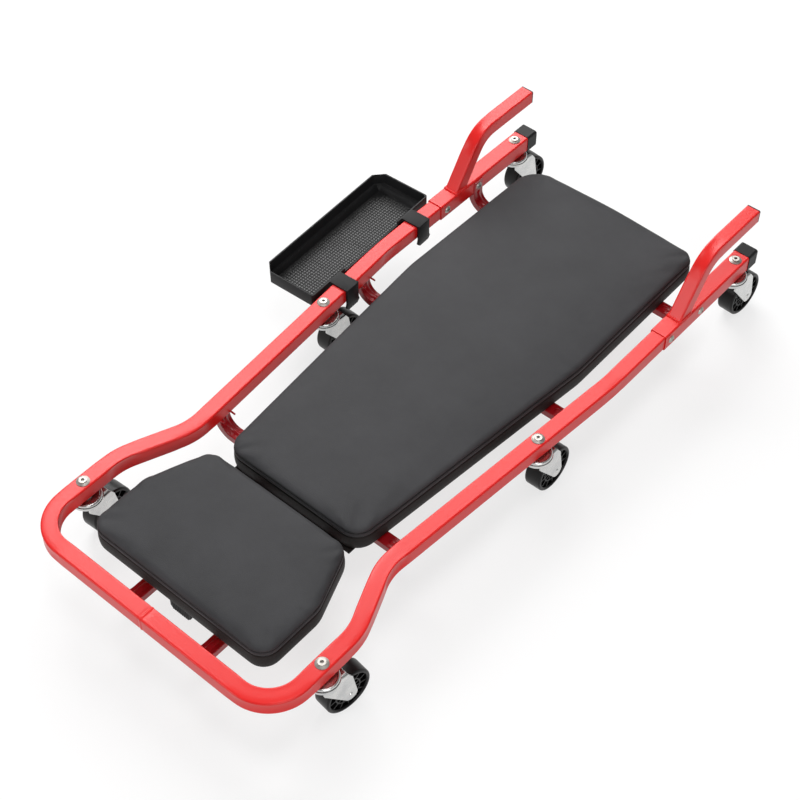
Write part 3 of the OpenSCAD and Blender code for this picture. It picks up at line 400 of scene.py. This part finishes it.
def outline(corners, reach):
    """Closed convex outline through rounded corners, with even steps of about reach."""
    path = []
    for i, (x, y, radius) in enumerate(corners):
        a, c = corners[i - 1], corners[(i + 1) % len(corners)]
        path += corner_arc(Vector(a[:2]), Vector((x, y)), Vector(c[:2]), radius, OUTLINE_ARC_STEPS)
    lengths = [(path[(i + 1) % len(path)] - path[i]).length for i in range(len(path))]
    total = sum(lengths)
    count = round(total / reach)
    points, i, walked = [], 0, 0.0
    for k in range(count):
        target = total * k / count
        while walked + lengths[i] < target:
            walked += lengths[i]
            i += 1
        points.append(path[i].lerp(path[(i + 1) % len(path)], (target - walked) / lengths[i]))
    return points


def inward(points):
    """Unit normals that point into a counter-clockwise outline."""
    count = len(points)
    result = []
    for i in range(count):
        along = (points[(i + 1) % count] - points[i - 1]).normalized()
        result.append(Vector((-along.y, along.x)))
    return result


def rim_profile(edge):
    """Rows of a cushion's side, and which of them lie in its lower and its upper seam."""
    seam = edge - SEAM_ROLL
    rows = list(UNDERSIDE)
    for t in BAND_SHARES:
        rows.append((-BAND_BULGE * sin(pi * (BULGE_FROM + BULGE_SPAN * t)), BAND_LOW + (seam - BAND_LOW) * t))
    rows += [(inset, seam + rise) for inset, rise in LOWER_SEAM]
    rows += [(inset, edge + rise) for inset, rise in UPPER_SEAM]
    return rows, rows.index((SEAM_DEEP, seam)), rows.index((SEAM_DEEP, edge))


def panel(ring, pitch):
    """Triangles that fill a ring of points, with inner points on a grid of equilateral triangles."""
    count = len(ring)
    # Every third side is enough to keep the inner points clear of the ring
    sides = [(ring[i], (ring[(i + 1) % count] - ring[i]).normalized()) for i in range(0, count, 3)]
    low_x, high_x = min(p.x for p in ring), max(p.x for p in ring)
    y, high_y = min(p.y for p in ring), max(p.y for p in ring)
    inner = []
    row = 0
    while y < high_y:
        # The convex outline leaves one stretch of x free on each line
        left, right = low_x, high_x
        for a, d in sides:
            # A point's depth inside this side is d.x * (y - a.y) - d.y * (x - a.x)
            spare = d.x * (y - a.y) - RIM_SHARE * pitch
            if d.y > TINY:
                right = min(right, a.x + spare / d.y)
            elif d.y < -TINY:
                left = max(left, a.x + spare / d.y)
            elif spare < 0:
                # No x is free on this line
                left, right = 1.0, 0.0
        x = low_x + (pitch / 2 if row % 2 else 0)
        x += pitch * ceil(max(0.0, left - x) / pitch)
        while x <= right:
            inner.append(Vector((x, y)))
            x += pitch
        y += pitch * ROW_SHARE
        row += 1
    keep_inside, merge_distance = 1, 0.0001
    border = [list(range(count))]
    points, _, faces, *_ = delaunay_2d_cdt(ring + inner, [], border, keep_inside, merge_distance)
    return points, faces


def swell(piece, sewn):
    """Cloth that is held at the sewn vertices and blown up from inside; a share of each move is kept."""
    before = [v.co.copy() for v in piece.data.vertices]
    piece.vertex_groups.new(name="sewn").add(sewn, 1.0, "REPLACE")
    only(piece)
    cloth = piece.modifiers.new("Cloth", "CLOTH")
    cloth.settings.vertex_group_mass = "sewn"
    cloth.settings.quality = 6
    cloth.settings.mass = 0.4
    cloth.settings.tension_stiffness = 25
    cloth.settings.compression_stiffness = 25
    cloth.settings.bending_stiffness = 2.0
    cloth.settings.use_pressure = True
    cloth.settings.uniform_pressure_force = PRESSURE
    cloth.settings.effector_weights.gravity = 0
    cloth.collision_settings.use_collision = False
    cloth.point_cache.frame_start = 1
    cloth.point_cache.frame_end = CLOTH_FRAMES
    for step in range(1, CLOTH_FRAMES + 1):
        bpy.context.scene.frame_set(step)
    bpy.ops.object.modifier_apply(modifier="Cloth")
    bpy.context.scene.frame_set(1)
    for v, old in zip(piece.data.vertices, before):
        move = (v.co - old) * KEPT_SHARE
        v.co = old + move * min(1.0, MOST_MOVE * MM / max(move.length, TINY))
    piece.vertex_groups.clear()


def spine(corners):
    """Ends in y of a cushion's middle line, which stops short of its edges by the smaller half width."""
    near = min(y for _, y, _ in corners)
    far = max(y for _, y, _ in corners)
    half = min(max(x for x, _, _ in corners), (far - near) / 2)
    return near + half, far - half


def crowned(p, ring, sizes):
    """A point of the top panel, which rises steeply at the rim and levels out toward the middle line."""
    near, far = spine(sizes["corners"])
    reach = min(hypot(*(p - q)) for q in ring)
    share = reach / (reach + (p - Vector((0, min(max(p.y, near), far)))).length)
    rise = TOP_RISE + (sizes["crown"] - TOP_RISE) * (1 - (1 - share) ** 3)
    return Vector((p.x, p.y, sizes["edge"] + rise))


def cushion(name, node, sizes, body):
    """Foam and vinyl cushion: sides, double seam and crowned top panel, then swollen as cloth."""
    points = outline(sizes["corners"], OUTLINE_STEP)
    normals = inward(points)
    rows, lower_seam, upper_seam = rim_profile(sizes["edge"])
    count = len(points)
    vertices, faces = [], []
    for inset, height in rows:
        vertices += [Vector((*(p + n * inset), height)) for p, n in zip(points, normals)]
    for k in range(len(rows) - 1):
        faces += strip(range(k * count, (k + 1) * count), range((k + 1) * count, (k + 2) * count))
    ring = [v.xy for v in vertices[-count:]]
    top, triangles = panel(ring, PANEL_PITCH)
    rim = len(vertices) - count
    vertices += [crowned(p, ring, sizes) for p in top[count:]]
    faces += [tuple(rim + i for i in t) for t in triangles]
    under = len(vertices)
    flat, lids = panel([v.xy for v in vertices[:count]], UNDERSIDE_PITCH)
    vertices += [Vector((p.x, p.y, rows[0][1])) for p in flat[count:]]
    faces += [tuple(i if i < count else under + i - count for i in reversed(t)) for t in lids]
    place = place_flat(0, 0, sizes["base"])
    piece = new_piece(name, [v + place for v in vertices], faces, FINISH["black_vinyl"])
    # The side band gets a darker, browner copy of the vinyl, painted shade on the sides, and the rows of the
    # two seams get the thread's near black, which is thread and painted shade in the seam grooves
    piece.data.materials.append(BAND)
    piece.data.materials.append(THREAD_AND_SEAM_SHADE)
    for face in piece.data.polygons[:count * (len(rows) - 1)]:
        row = face.index // count
        if row < lower_seam - 1:
            face.material_index = BAND_INDEX
        elif row in (lower_seam - 1, lower_seam, upper_seam - 1, upper_seam):
            # Painted shade: the seam rows take the thread's near black, which stands for the thread and the
            # shade in the seam grooves
            face.material_index = SEAM_SHADE_INDEX
    sewn = list(range(len(UNDERSIDE) * count))
    for row in (lower_seam, upper_seam):
        sewn += range(row * count, (row + 1) * count)
    sewn += range(under, len(vertices))
    swell(piece, sewn)
    piece.modifiers.new("Subdivision", "SUBSURF")
    only(piece)
    bpy.ops.object.modifier_apply(modifier="Subdivision")
    bpy.ops.object.shade_smooth()
    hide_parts(node)
    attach(piece, body)


def stitch(middle, along, side):
    """One stitch as a spindle of four sides; along and side are unit vectors."""
    vertices = [middle - along * STITCH_HALF]
    for at, r in SPINDLE:
        ring = [(side * cos(k * pi / 2) + UP * sin(k * pi / 2)) * r for k in range(4)]
        vertices += [middle + along * at + spoke for spoke in ring]
    vertices.append(middle + along * STITCH_HALF)
    faces = [(0, 1 + k, 1 + (k + 1) % 4) for k in range(4)]
    for row in (1, 5):
        faces += strip(range(row, row + 4), range(row + 4, row + 8))
    faces += [(13, 9 + (k + 1) % 4, 9 + k) for k in range(4)]
    return vertices, faces


def stitching(name, sizes, body):
    """Thread across both seams of a cushion, on the same outline as its sides."""
    shapes = []
    points = outline(sizes["corners"], STITCH_PITCH)
    for height in (sizes["edge"], sizes["edge"] - SEAM_ROLL):
        for p, n in zip(points, inward(points)):
            middle = place_flat(*(p + n * STITCH_INSET), height + sizes["base"])
            shapes.append(stitch(middle, Vector((n.y, -n.x, 0)), Vector((n.x, n.y, 0))))
    piece = join_shapes(name, shapes, THREAD_AND_SEAM_SHADE)
    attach(piece, body)


cushion("backrest_cushion", "backrest_pad", BACKREST, "frame")
cushion("headrest_cushion", "headrest_pad", HEADREST, "headrest")


# Bent tubes. A bend in thin square tube flattens its outer wall and dents its inner one.
# The head loop is a 1 in tube, and the handles are a little thinner
TUBE = 25.4
HANDLE = 23.5
TUBE_WALL = 1.5
TUBE_CORNER = 2.5
RAIL_Z = 113.3

# Places of the loop's bends: half the distance between the rails is NECK_X at the neck, and FOOT_X from the
# waist to the feet
HEAD_X = 225.5
NECK_X = 182.5
FOOT_X = 219.2
NECK_Y = -278.7
WAIST_Y = 180.0

# The handles start on the foot tubes and run level at HANDLE_TOP
FOOT_TOP = 127.6
HANDLE_Y = 359.1
HANDLE_BEND_Y = 413.4
HANDLE_TOP = 207.5

# Each corner: place in the plane of the tube, bend radius, and how strongly the bend is crushed
LOOP_SIDE = [(FOOT_X, 350.9, 0, 0), (FOOT_X, WAIST_Y, 300, 0.6), (NECK_X, NECK_Y, 95, 1.0),
             (HEAD_X, -382.0, 100, 0.9), (HEAD_X, -541.5, 57.5, 1.0)]
HANDLE_PATH = [(HANDLE_Y, FOOT_TOP, 0, 0), (HANDLE_BEND_Y, HANDLE_TOP, 48, 1.25), (538.0, HANDLE_TOP, 0, 0)]
BEND_STEPS = 24
# Stretch at a handle's foot that the level cut on the foot tube can touch
CUT_REACH = 40

# A crushed bend: half its length at most, its run-out past the bend, and the stretch that it fades over
CRUSH_HALF = 45.0
CRUSH_RUN = 16
CRUSH_FADE = 20

# Sections stand closer together within NEAR_BEND of a bend
SECTION_STEP = 9.0
BEND_SECTION_STEP = 3.0
NEAR_BEND = 24

# Depths of the inner dent and the outer flat, and the shares by which the side walls spread and draw in
DENT = 2.8
FLATTENING = 0.9
SPREAD = 0.03
DRAW = 0.08
CORNER_STEPS = 4
FACE_SHARES = (0.93, 0.6, 0.25, -0.25, -0.6, -0.93)

# Butt weld: the sections across it, then its bead and the ground groove beside the bead
WELD_STEPS = (-4.5, -3.4, -2.4, -1.4, -0.5, 0.5, 1.4, 2.4, 3.4, 4.5)
WELD_CLEAR = 5.5
BEAD_HIGH = 0.5
BEAD_WIDE = 1.5
GROOVE_DEEP = 0.18
GROOVE_AT = 3.0
GROOVE_WIDE = 0.9


def fade(t):
    t = min(1.0, max(0.0, t))
    return t * t * (3 - 2 * t)


def straight_run(a, b):
    """Points 1 mm apart from a, left out, to b."""
    count = max(1, round((b - a).length))
    return [a.lerp(b, (k + 1) / count) for k in range(count)]


def centre_line(corners):
    """Sections of a bent tube: each a point, its direction, its place along the tube and its crush."""
    path, bends, walked = [Vector(corners[0][:2])], [], 0.0
    for before, (x, y, radius, strength), after in zip(corners, corners[1:], corners[2:]):
        arc = corner_arc(Vector(before[:2]), Vector((x, y)), Vector(after[:2]), radius, BEND_STEPS)
        walked += (arc[0] - path[-1]).length
        path += straight_run(path[-1], arc[0])
        bent = sum((q - p).length for p, q in zip(arc, arc[1:]))
        a, b = arc[1] - arc[0], arc[-1] - arc[-2]
        side = 1 if a.x * b.y - a.y * b.x > 0 else -1
        bends.append((walked + bent / 2, min(bent / 2, CRUSH_HALF), side * strength))
        walked += bent
        path += arc[1:]
    path += straight_run(path[-1], Vector(corners[-1][:2]))
    stations, s, kept = [], 0.0, -FAR
    for i, p in enumerate(path):
        if i:
            s += (p - path[i - 1]).length
        near = min(abs(s - at) - half for at, half, _ in bends)
        if s - kept >= (BEND_SECTION_STEP if near < NEAR_BEND else SECTION_STEP) or i == len(path) - 1:
            along = (path[min(i + 1, len(path) - 1)] - path[max(i - 1, 0)]).normalized()
            crush = sum(w * fade((half + CRUSH_RUN - abs(s - at)) / CRUSH_FADE) for at, half, w in bends)
            stations.append((p, along, s, crush))
            kept = s
    return stations, s


def square_section(size, corner, crush, proud):
    """Points round a square section; u points away from the middle of the bend where crush is positive."""
    half = size / 2 + proud
    flat = half - corner
    turns = [k * pi / 2 / CORNER_STEPS for k in range(CORNER_STEPS + 1)]
    quarter = [(flat + corner * cos(a), flat + corner * sin(a)) for a in turns]
    quarter += [(flat * t, half) for t in FACE_SHARES]
    side = 1 if crush >= 0 else -1
    strength = abs(crush)
    ring = []
    for turn in range(4):
        for u, v in quarter:
            for _ in range(turn):
                u, v = -v, u
            a, b = side * u / half, v / half
            outer, inner = max(0.0, a), max(0.0, -a)
            u += side * strength * (1 - b * b) * (DENT * inner ** 6 - FLATTENING * outer ** 6)
            v *= 1 + strength * (SPREAD * inner ** 3 - DRAW * outer ** 3)
            ring.append((u, v))
    return ring


def butt_weld(away):
    """Height of the ground butt weld over the tube's face, at a distance from its middle."""
    groove = GROOVE_DEEP * exp(-((away - GROOVE_AT) / GROOVE_WIDE) ** 2)
    return BEAD_HIGH * exp(-(away / BEAD_WIDE) ** 2) - groove


def with_weld(stations, weld):
    """The sections of a tube, with close ones across the butt weld that lies at a place along it."""
    p, along, s, _ = min(stations, key=lambda row: abs(row[2] - weld))
    others = [row for row in stations if abs(row[2] - weld) > WELD_CLEAR]
    across = [(p + along * (weld + shift - s), along, weld + shift, 0.0) for shift in WELD_STEPS]
    return sorted(others + across, key=lambda row: row[2])


def bent_tube(name, node, corners, size, lift, weld_share=None, cut=None):
    """Hollow tube along a bent centre line; lift takes a point of its plane to the CAD's frame."""
    stations, total = centre_line(corners)
    weld = -FAR
    if weld_share is not None:
        weld = total * weld_share
        stations = with_weld(stations, weld)
    vertices, rings = [], []
    # Each wall: its width, its corner's radius, and 1 where the weld's bead stands on it
    outer_wall = (size, TUBE_CORNER, 1)
    inner_wall = (size - 2 * TUBE_WALL, TUBE_CORNER - TUBE_WALL, 0)
    for wide, corner, beaded in (outer_wall, inner_wall):
        for p, along, s, crush in stations:
            proud = beaded * butt_weld(abs(s - weld))
            right = Vector((along.y, -along.x))
            ring = []
            for u, v in square_section(wide, corner, crush, proud):
                q = p + right * u
                if cut is not None and s < CUT_REACH:
                    # The end slides along the tube onto the cut, and later sections only rise to it
                    slide = max(0.0, cut - q.y) if s > 0 else cut - q.y
                    q = q + along * (slide / along.y)
                ring.append(len(vertices))
                vertices.append(lift(q.x, q.y, v))
            rings.append(ring)
    count = len(stations)
    faces = []
    for a, b in zip(rings, rings[1:]):
        # The outer wall's last section and the inner wall's first don't join
        if b is not rings[count]:
            faces += strip(a, b)
    for k in (0, count - 1):
        faces += strip(rings[k], rings[count + k])
    piece = new_piece(name, vertices, faces, FINISH["red_tube"])
    outward(piece)
    only(piece)
    bpy.ops.object.shade_smooth_by_angle(angle=radians(40))
    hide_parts(node)
    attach(piece, "frame")


# The loop's two halves meet in a butt weld in the middle of the front
bent_tube("head_loop_tube", "head_loop", LOOP_SIDE + mirrored(LOOP_SIDE), TUBE,
          lambda x, y, up: place_flat(x, y, RAIL_Z + up), weld_share=0.5)
for side, word in ((-1, "left"), (1, "right")):
    bent_tube("handle_tube_" + word, "handle_" + word, HANDLE_PATH, HANDLE,
              lambda y, z, across, side=side: place_flat(side * FOOT_X + across, y, z), cut=FOOT_TOP)


# Welds: radius of the beads, millimetres from ripple to ripple, and the shares that they swell and wander by
FOOT_BEAD = 2.3
CHANNEL_BEAD = 1.5
RIPPLE = 4
RIPPLE_SHARE = 0.16
WANDER_SHARE = 0.12
WANDER_SCALE = 0.21

# A handle's bead lies BEAD_RISE over the foot tube, sunk into the handle's outline by half of SUNK
SLOPE = atan2(HANDLE_TOP - FOOT_TOP, HANDLE_BEND_Y - HANDLE_Y)
SUNK = 0.6
BEAD_RISE = 0.3

# Cross-members under the rails: their middles and half width, and the bead's height, inset and half length
MEMBERS_Y = (-219.0, 121.0)
MEMBER_HALF = 11.0
MEMBER_BEAD_Z = 100.2
BEAD_INSET = 10.5
BEAD_HALF = 9.0


def weld_bead(points, radius):
    """Closed bead of weld metal along points 1 mm apart: a round cord with the ripples of its pool."""
    vertices, faces = [], []
    count = len(points)
    for i, p in enumerate(points):
        along = (points[(i + 1) % count] - points[i - 1]).normalized()
        side = along.cross(UP).normalized()
        swelling = RIPPLE_SHARE * sin(2 * pi * i / RIPPLE) + WANDER_SHARE * noise.noise(p * WANDER_SCALE)
        r = radius * (1 + swelling)
        vertices += [p + (side * cos(k * pi / 3) + UP * sin(k * pi / 3)) * r for k in range(6)]
    for i in range(count):
        j = (i + 1) % count
        faces += strip(range(6 * i, 6 * i + 6), range(6 * j, 6 * j + 6))
    return vertices, faces


def box_walk(x, y, z, wide, long):
    """Points 1 mm apart round a rectangle with its middle at x, y."""
    points = []
    for ax, ay, bx, by in ((-1, -1, 1, -1), (1, -1, 1, 1), (1, 1, -1, 1), (-1, 1, -1, -1)):
        a = place_flat(x + ax * wide / 2, y + ay * long / 2, z)
        b = place_flat(x + bx * wide / 2, y + by * long / 2, z)
        steps = round((b - a).length)
        points += [a.lerp(b, k / steps) for k in range(steps)]
    return points


def run_of_weld(a, b, radius):
    """Straight bead from a to b and back, so that its ends are rounded off."""
    steps = round((b - a).length)
    there = [a.lerp(b, k / steps) for k in range(steps + 1)]
    return weld_bead(there + there[-2:0:-1], radius)


def rail_x(y):
    """Half distance between the rails at y."""
    if y > WAIST_Y:
        return FOOT_X
    return NECK_X + (FOOT_X - NECK_X) * (y - NECK_Y) / (WAIST_Y - NECK_Y)


def handle_welds():
    """The handles stand on the foot tubes in a fillet weld; their cut is longer along the tube."""
    feet = []
    wide, long = HANDLE - SUNK, HANDLE / sin(SLOPE) - SUNK
    for side in (-1, 1):
        ring = box_walk(side * FOOT_X, HANDLE_Y, FOOT_TOP + BEAD_RISE, wide, long)
        feet.append(weld_bead(ring, FOOT_BEAD))
    piece = join_shapes("handle_welds", feet, FINISH["red_tube"])
    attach(piece, "frame")


def channel_welds():
    """Two short beads hold each end of the neck and mid cross-members under the rails."""
    runs = []
    for y in MEMBERS_Y:
        for side in (-1, 1):
            for edge in (-MEMBER_HALF, MEMBER_HALF):
                x = side * (rail_x(y) - BEAD_INSET)
                a = place_flat(x - BEAD_HALF, y + edge, MEMBER_BEAD_Z)
                b = place_flat(x + BEAD_HALF, y + edge, MEMBER_BEAD_Z)
                runs.append(run_of_weld(a, b, CHANNEL_BEAD))
    # Painted shade: the welds take the channels' darker red, which stands for the shade under the cushions
    piece = join_shapes("channel_welds", runs, FINISH["dark_red_steel"])
    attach(piece, "frame")


handle_welds()
channel_welds()

stitching("backrest_stitches", BACKREST, "frame")
stitching("headrest_stitches", HEADREST, "headrest")


# Tray: it is turned about TRAY_AT, and the middle of its floor is given from there
TRAY_TURN = radians(2.8)
TRAY_AT = Vector((-232.9, WAIST_Y))
TRAY_BEVEL = 0.7
FLOOR_Z = 97.2
FLOOR_MIDDLE = Vector((-51.35, -13.0))
FLOOR_HALF = 123

# Square pads on the floor
PITCH = 5.0
PAD = 3.8
PAD_HIGH = 0.6
PADS_ACROSS = 15
PADS_ALONG = 52
# The two outer corners of the floor are cut off: this much in the outermost row, and less in the next
CORNER_ROWS = 2
CORNER_CUT = 9
CORNER_CUT_STEP = 5
# Rows of a pad: height, and how far its sides are drawn in
PAD_ROWS = ((-0.2, 0.0), (PAD_HIGH * 0.6, 0.15), (PAD_HIGH, 0.6))


def round_edges(piece, width):
    """Rounds the edges of the active piece and shades it."""
    bevel = piece.modifiers.new("Bevel", "BEVEL")
    bevel.width = width * MM
    bevel.segments = 2
    bevel.angle_limit = radians(35)
    bpy.ops.object.modifier_apply(modifier="Bevel")
    bpy.ops.object.shade_smooth_by_angle(angle=radians(35))


def tray_shell():
    """The tray of the CAD, with its edges rounded as a mould leaves them."""
    piece = bpy.data.objects.new("tool_tray_shell", frame["nodes"]["tool_tray"].data.copy())
    bpy.context.scene.collection.objects.link(piece)
    piece.data.name = piece.name
    work = bmesh.new()
    work.from_mesh(piece.data)
    bmesh.ops.remove_doubles(work, verts=work.verts, dist=0.01 * MM)
    bmesh.ops.dissolve_limit(work, angle_limit=radians(1), verts=work.verts, edges=work.edges)
    work.to_mesh(piece.data)
    work.free()
    only(piece)
    round_edges(piece, TRAY_BEVEL)
    piece.data.materials.clear()
    piece.data.materials.append(FINISH["black_plastic"])
    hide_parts("tool_tray")
    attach(piece, "tray")


def floor_pad(x, y):
    """One square pad with a rounded top; x and y are in the tray's own frame."""
    shape = []
    for height, drawn in PAD_ROWS:
        half = PAD / 2 - drawn
        for a, b in ((-1, -1), (1, -1), (1, 1), (-1, 1)):
            spot = Matrix.Rotation(TRAY_TURN, 2) @ Vector((x + a * half, y + b * half)) + TRAY_AT
            shape.append(place_flat(spot.x, spot.y, FLOOR_Z + height))
    sides = strip(range(0, 4), range(4, 8)) + strip(range(4, 8), range(8, 12))
    return shape, [(3, 2, 1, 0)] + sides + [(8, 9, 10, 11)]


def tray_floor():
    """The grid of square pads on the tray's floor, in one piece."""
    squares = []
    for i in range(PADS_ACROSS):
        for j in range(PADS_ALONG):
            x = FLOOR_MIDDLE.x + (i - (PADS_ACROSS - 1) / 2) * PITCH
            y = (j - (PADS_ALONG - 1) / 2) * PITCH
            if i < CORNER_ROWS and abs(y) > FLOOR_HALF - (CORNER_CUT - CORNER_CUT_STEP * i):
                continue
            squares.append(floor_pad(x, y + FLOOR_MIDDLE.y))
    piece = join_shapes("tray_floor_pads", squares, PADS_PAINTED_LIGHT)
    only(piece)
    bpy.ops.object.shade_smooth_by_angle(angle=radians(25))
    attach(piece, "tray")


tray_shell()
tray_floor()

# Painted shade: a dark sheet under the head end of the backrest, seen through the gap between the cushions
SHADE_SHEET_HALF = 113.0
SHADE_SHEET_NEAR = -273.0
SHADE_SHEET_FAR = -250.0
SHADE_SHEET_THICK = 1.7
SHADE_SHEET_BEVEL = 0.5


def painted_shade_gap_sheet():
    """A dark sheet under the head end of the backrest, which fills the gap between the cushions with the dark
    of the shade there: painted shade.
    """
    bpy.ops.object.select_all(action="DESELECT")
    middle = place_flat(0, (SHADE_SHEET_NEAR + SHADE_SHEET_FAR) / 2, BACKREST["base"] - SHADE_SHEET_THICK / 2) * MM
    bpy.ops.mesh.primitive_cube_add(size=1, location=middle)
    piece = bpy.context.object
    piece.name = "painted_shade_gap_sheet"
    piece.data.name = piece.name
    piece.scale = (2 * SHADE_SHEET_HALF * MM, (SHADE_SHEET_FAR - SHADE_SHEET_NEAR) * MM, SHADE_SHEET_THICK * MM)
    bpy.ops.object.transform_apply(location=True, rotation=True, scale=True)
    round_edges(piece, SHADE_SHEET_BEVEL)
    # Painted shade: the sheet takes the dark band vinyl
    piece.data.materials.append(BAND)
    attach(piece, "frame")


painted_shade_gap_sheet()

# Floor: white paper that is nearly white where it is seen straight or mirrored, and keeps part of the shadow.
# For the light that it throws back on the object it counts as light grey.
FLOOR_SIZE = 30
FLOOR_DROP = 0.0005
GLOW_SHARE = 0.72
# Share of the world's light that falls on the object, where the backdrop itself is seen at full strength
DIM = 0.24
# A reflection meets the white backdrop up to this rise, and the dim room above it
BACKDROP_RISE = 0.3


def paper_floor():
    bpy.ops.object.select_all(action="DESELECT")
    bpy.ops.mesh.primitive_plane_add(size=FLOOR_SIZE, location=(0, 0, -FLOOR_DROP))
    floor = bpy.context.object
    floor.name = "floor"
    paper, tree, shader, _ = start("white_paper_floor", {"Roughness": 0.9, "Specular IOR Level": 0.1})
    seen = add(tree, "ShaderNodeLightPath")
    reflected = combine(tree, "MAXIMUM", (seen, "Is Glossy Ray"), (seen, "Is Transmission Ray"))
    either = combine(tree, "MAXIMUM", (seen, "Is Camera Ray"), reflected)
    share = combine(tree, "MULTIPLY", either, GLOW_SHARE)
    glow = add(tree, "ShaderNodeEmission", {"Color": (1, 1, 1, 1), "Strength": 1.0})
    tones = {"Color1": colour("#A2A2A2"), "Color2": colour("#F6F6F6")}
    tone = add(tree, "ShaderNodeMixRGB", tones, {"Fac": either})
    tree.links.new(tone.outputs["Color"], shader.inputs["Base Color"])
    both = add(tree, "ShaderNodeMixShader", {}, {"Fac": share})
    tree.links.new(shader.outputs["BSDF"], both.inputs[1])
    tree.links.new(glow.outputs["Emission"], both.inputs[2])
    tree.links.new(both.outputs["Shader"], tree.nodes["Material Output"].inputs["Surface"])
    floor.data.materials.append(paper)


def studio_world():
    """White for the camera, a white band at the horizon for reflections, dim for all other light."""
    world = bpy.data.worlds.new("studio")
    bpy.context.scene.world = world
    world.use_nodes = True
    tree = world.node_tree
    sky = tree.nodes["Background"]
    sky.inputs["Color"].default_value = (1, 1, 1, 1)
    seen = add(tree, "ShaderNodeLightPath")
    way = add(tree, "ShaderNodeTexCoord")
    rise = add(tree, "ShaderNodeSeparateXYZ", {}, {"Vector": (way, "Generated")})
    low = ramp(tree, (rise, "Z"), [(0.0, grey(1.0)), (BACKDROP_RISE, grey(0.0))])
    glint = combine(tree, "MULTIPLY", (seen, "Is Glossy Ray"), (low, "Color"))
    through = combine(tree, "MAXIMUM", glint, (seen, "Is Transmission Ray"))
    shown = combine(tree, "MAXIMUM", through, (seen, "Is Camera Ray"))
    level, output = combine(tree, "MULTIPLY_ADD", shown, 1 - DIM, DIM)
    tree.links.new(level.outputs[output], sky.inputs["Strength"])


def lamp(name, at, toward, size, power):
    """Round softbox: places in metres, power in watts."""
    light = bpy.data.lights.new(name, "AREA")
    light.shape = "DISK"
    light.size = size
    light.energy = power
    holder = bpy.data.objects.new(name, light)
    bpy.context.scene.collection.objects.link(holder)
    holder.location = at
    holder.rotation_euler = (Vector(toward) - Vector(at)).to_track_quat("-Z", "Y").to_euler()


paper_floor()
studio_world()
# The large softbox behind on the left gives the tops their pale sheen, the others only lift the sides
lamp("back_softbox", at=(-2.4, 2.4, 3.1), toward=(0, 0, 0), size=3.4, power=180)
lamp("side_softbox", at=(-2.4, 0.75, 3.1), toward=(0, -0.2, 0), size=1.3, power=24)
lamp("overhead_softbox", at=(0.5, -0.3, 3.3), toward=(0, 0, 0), size=1.2, power=20)
lamp("fill_softbox", at=(2.9, -1.9, 1.4), toward=(0, 0, 0.1), size=2.0, power=46)
lamp("front_softbox", at=(-1.2, -3.4, 1.6), toward=(0, 0.3, 0.1), size=1.5, power=34)
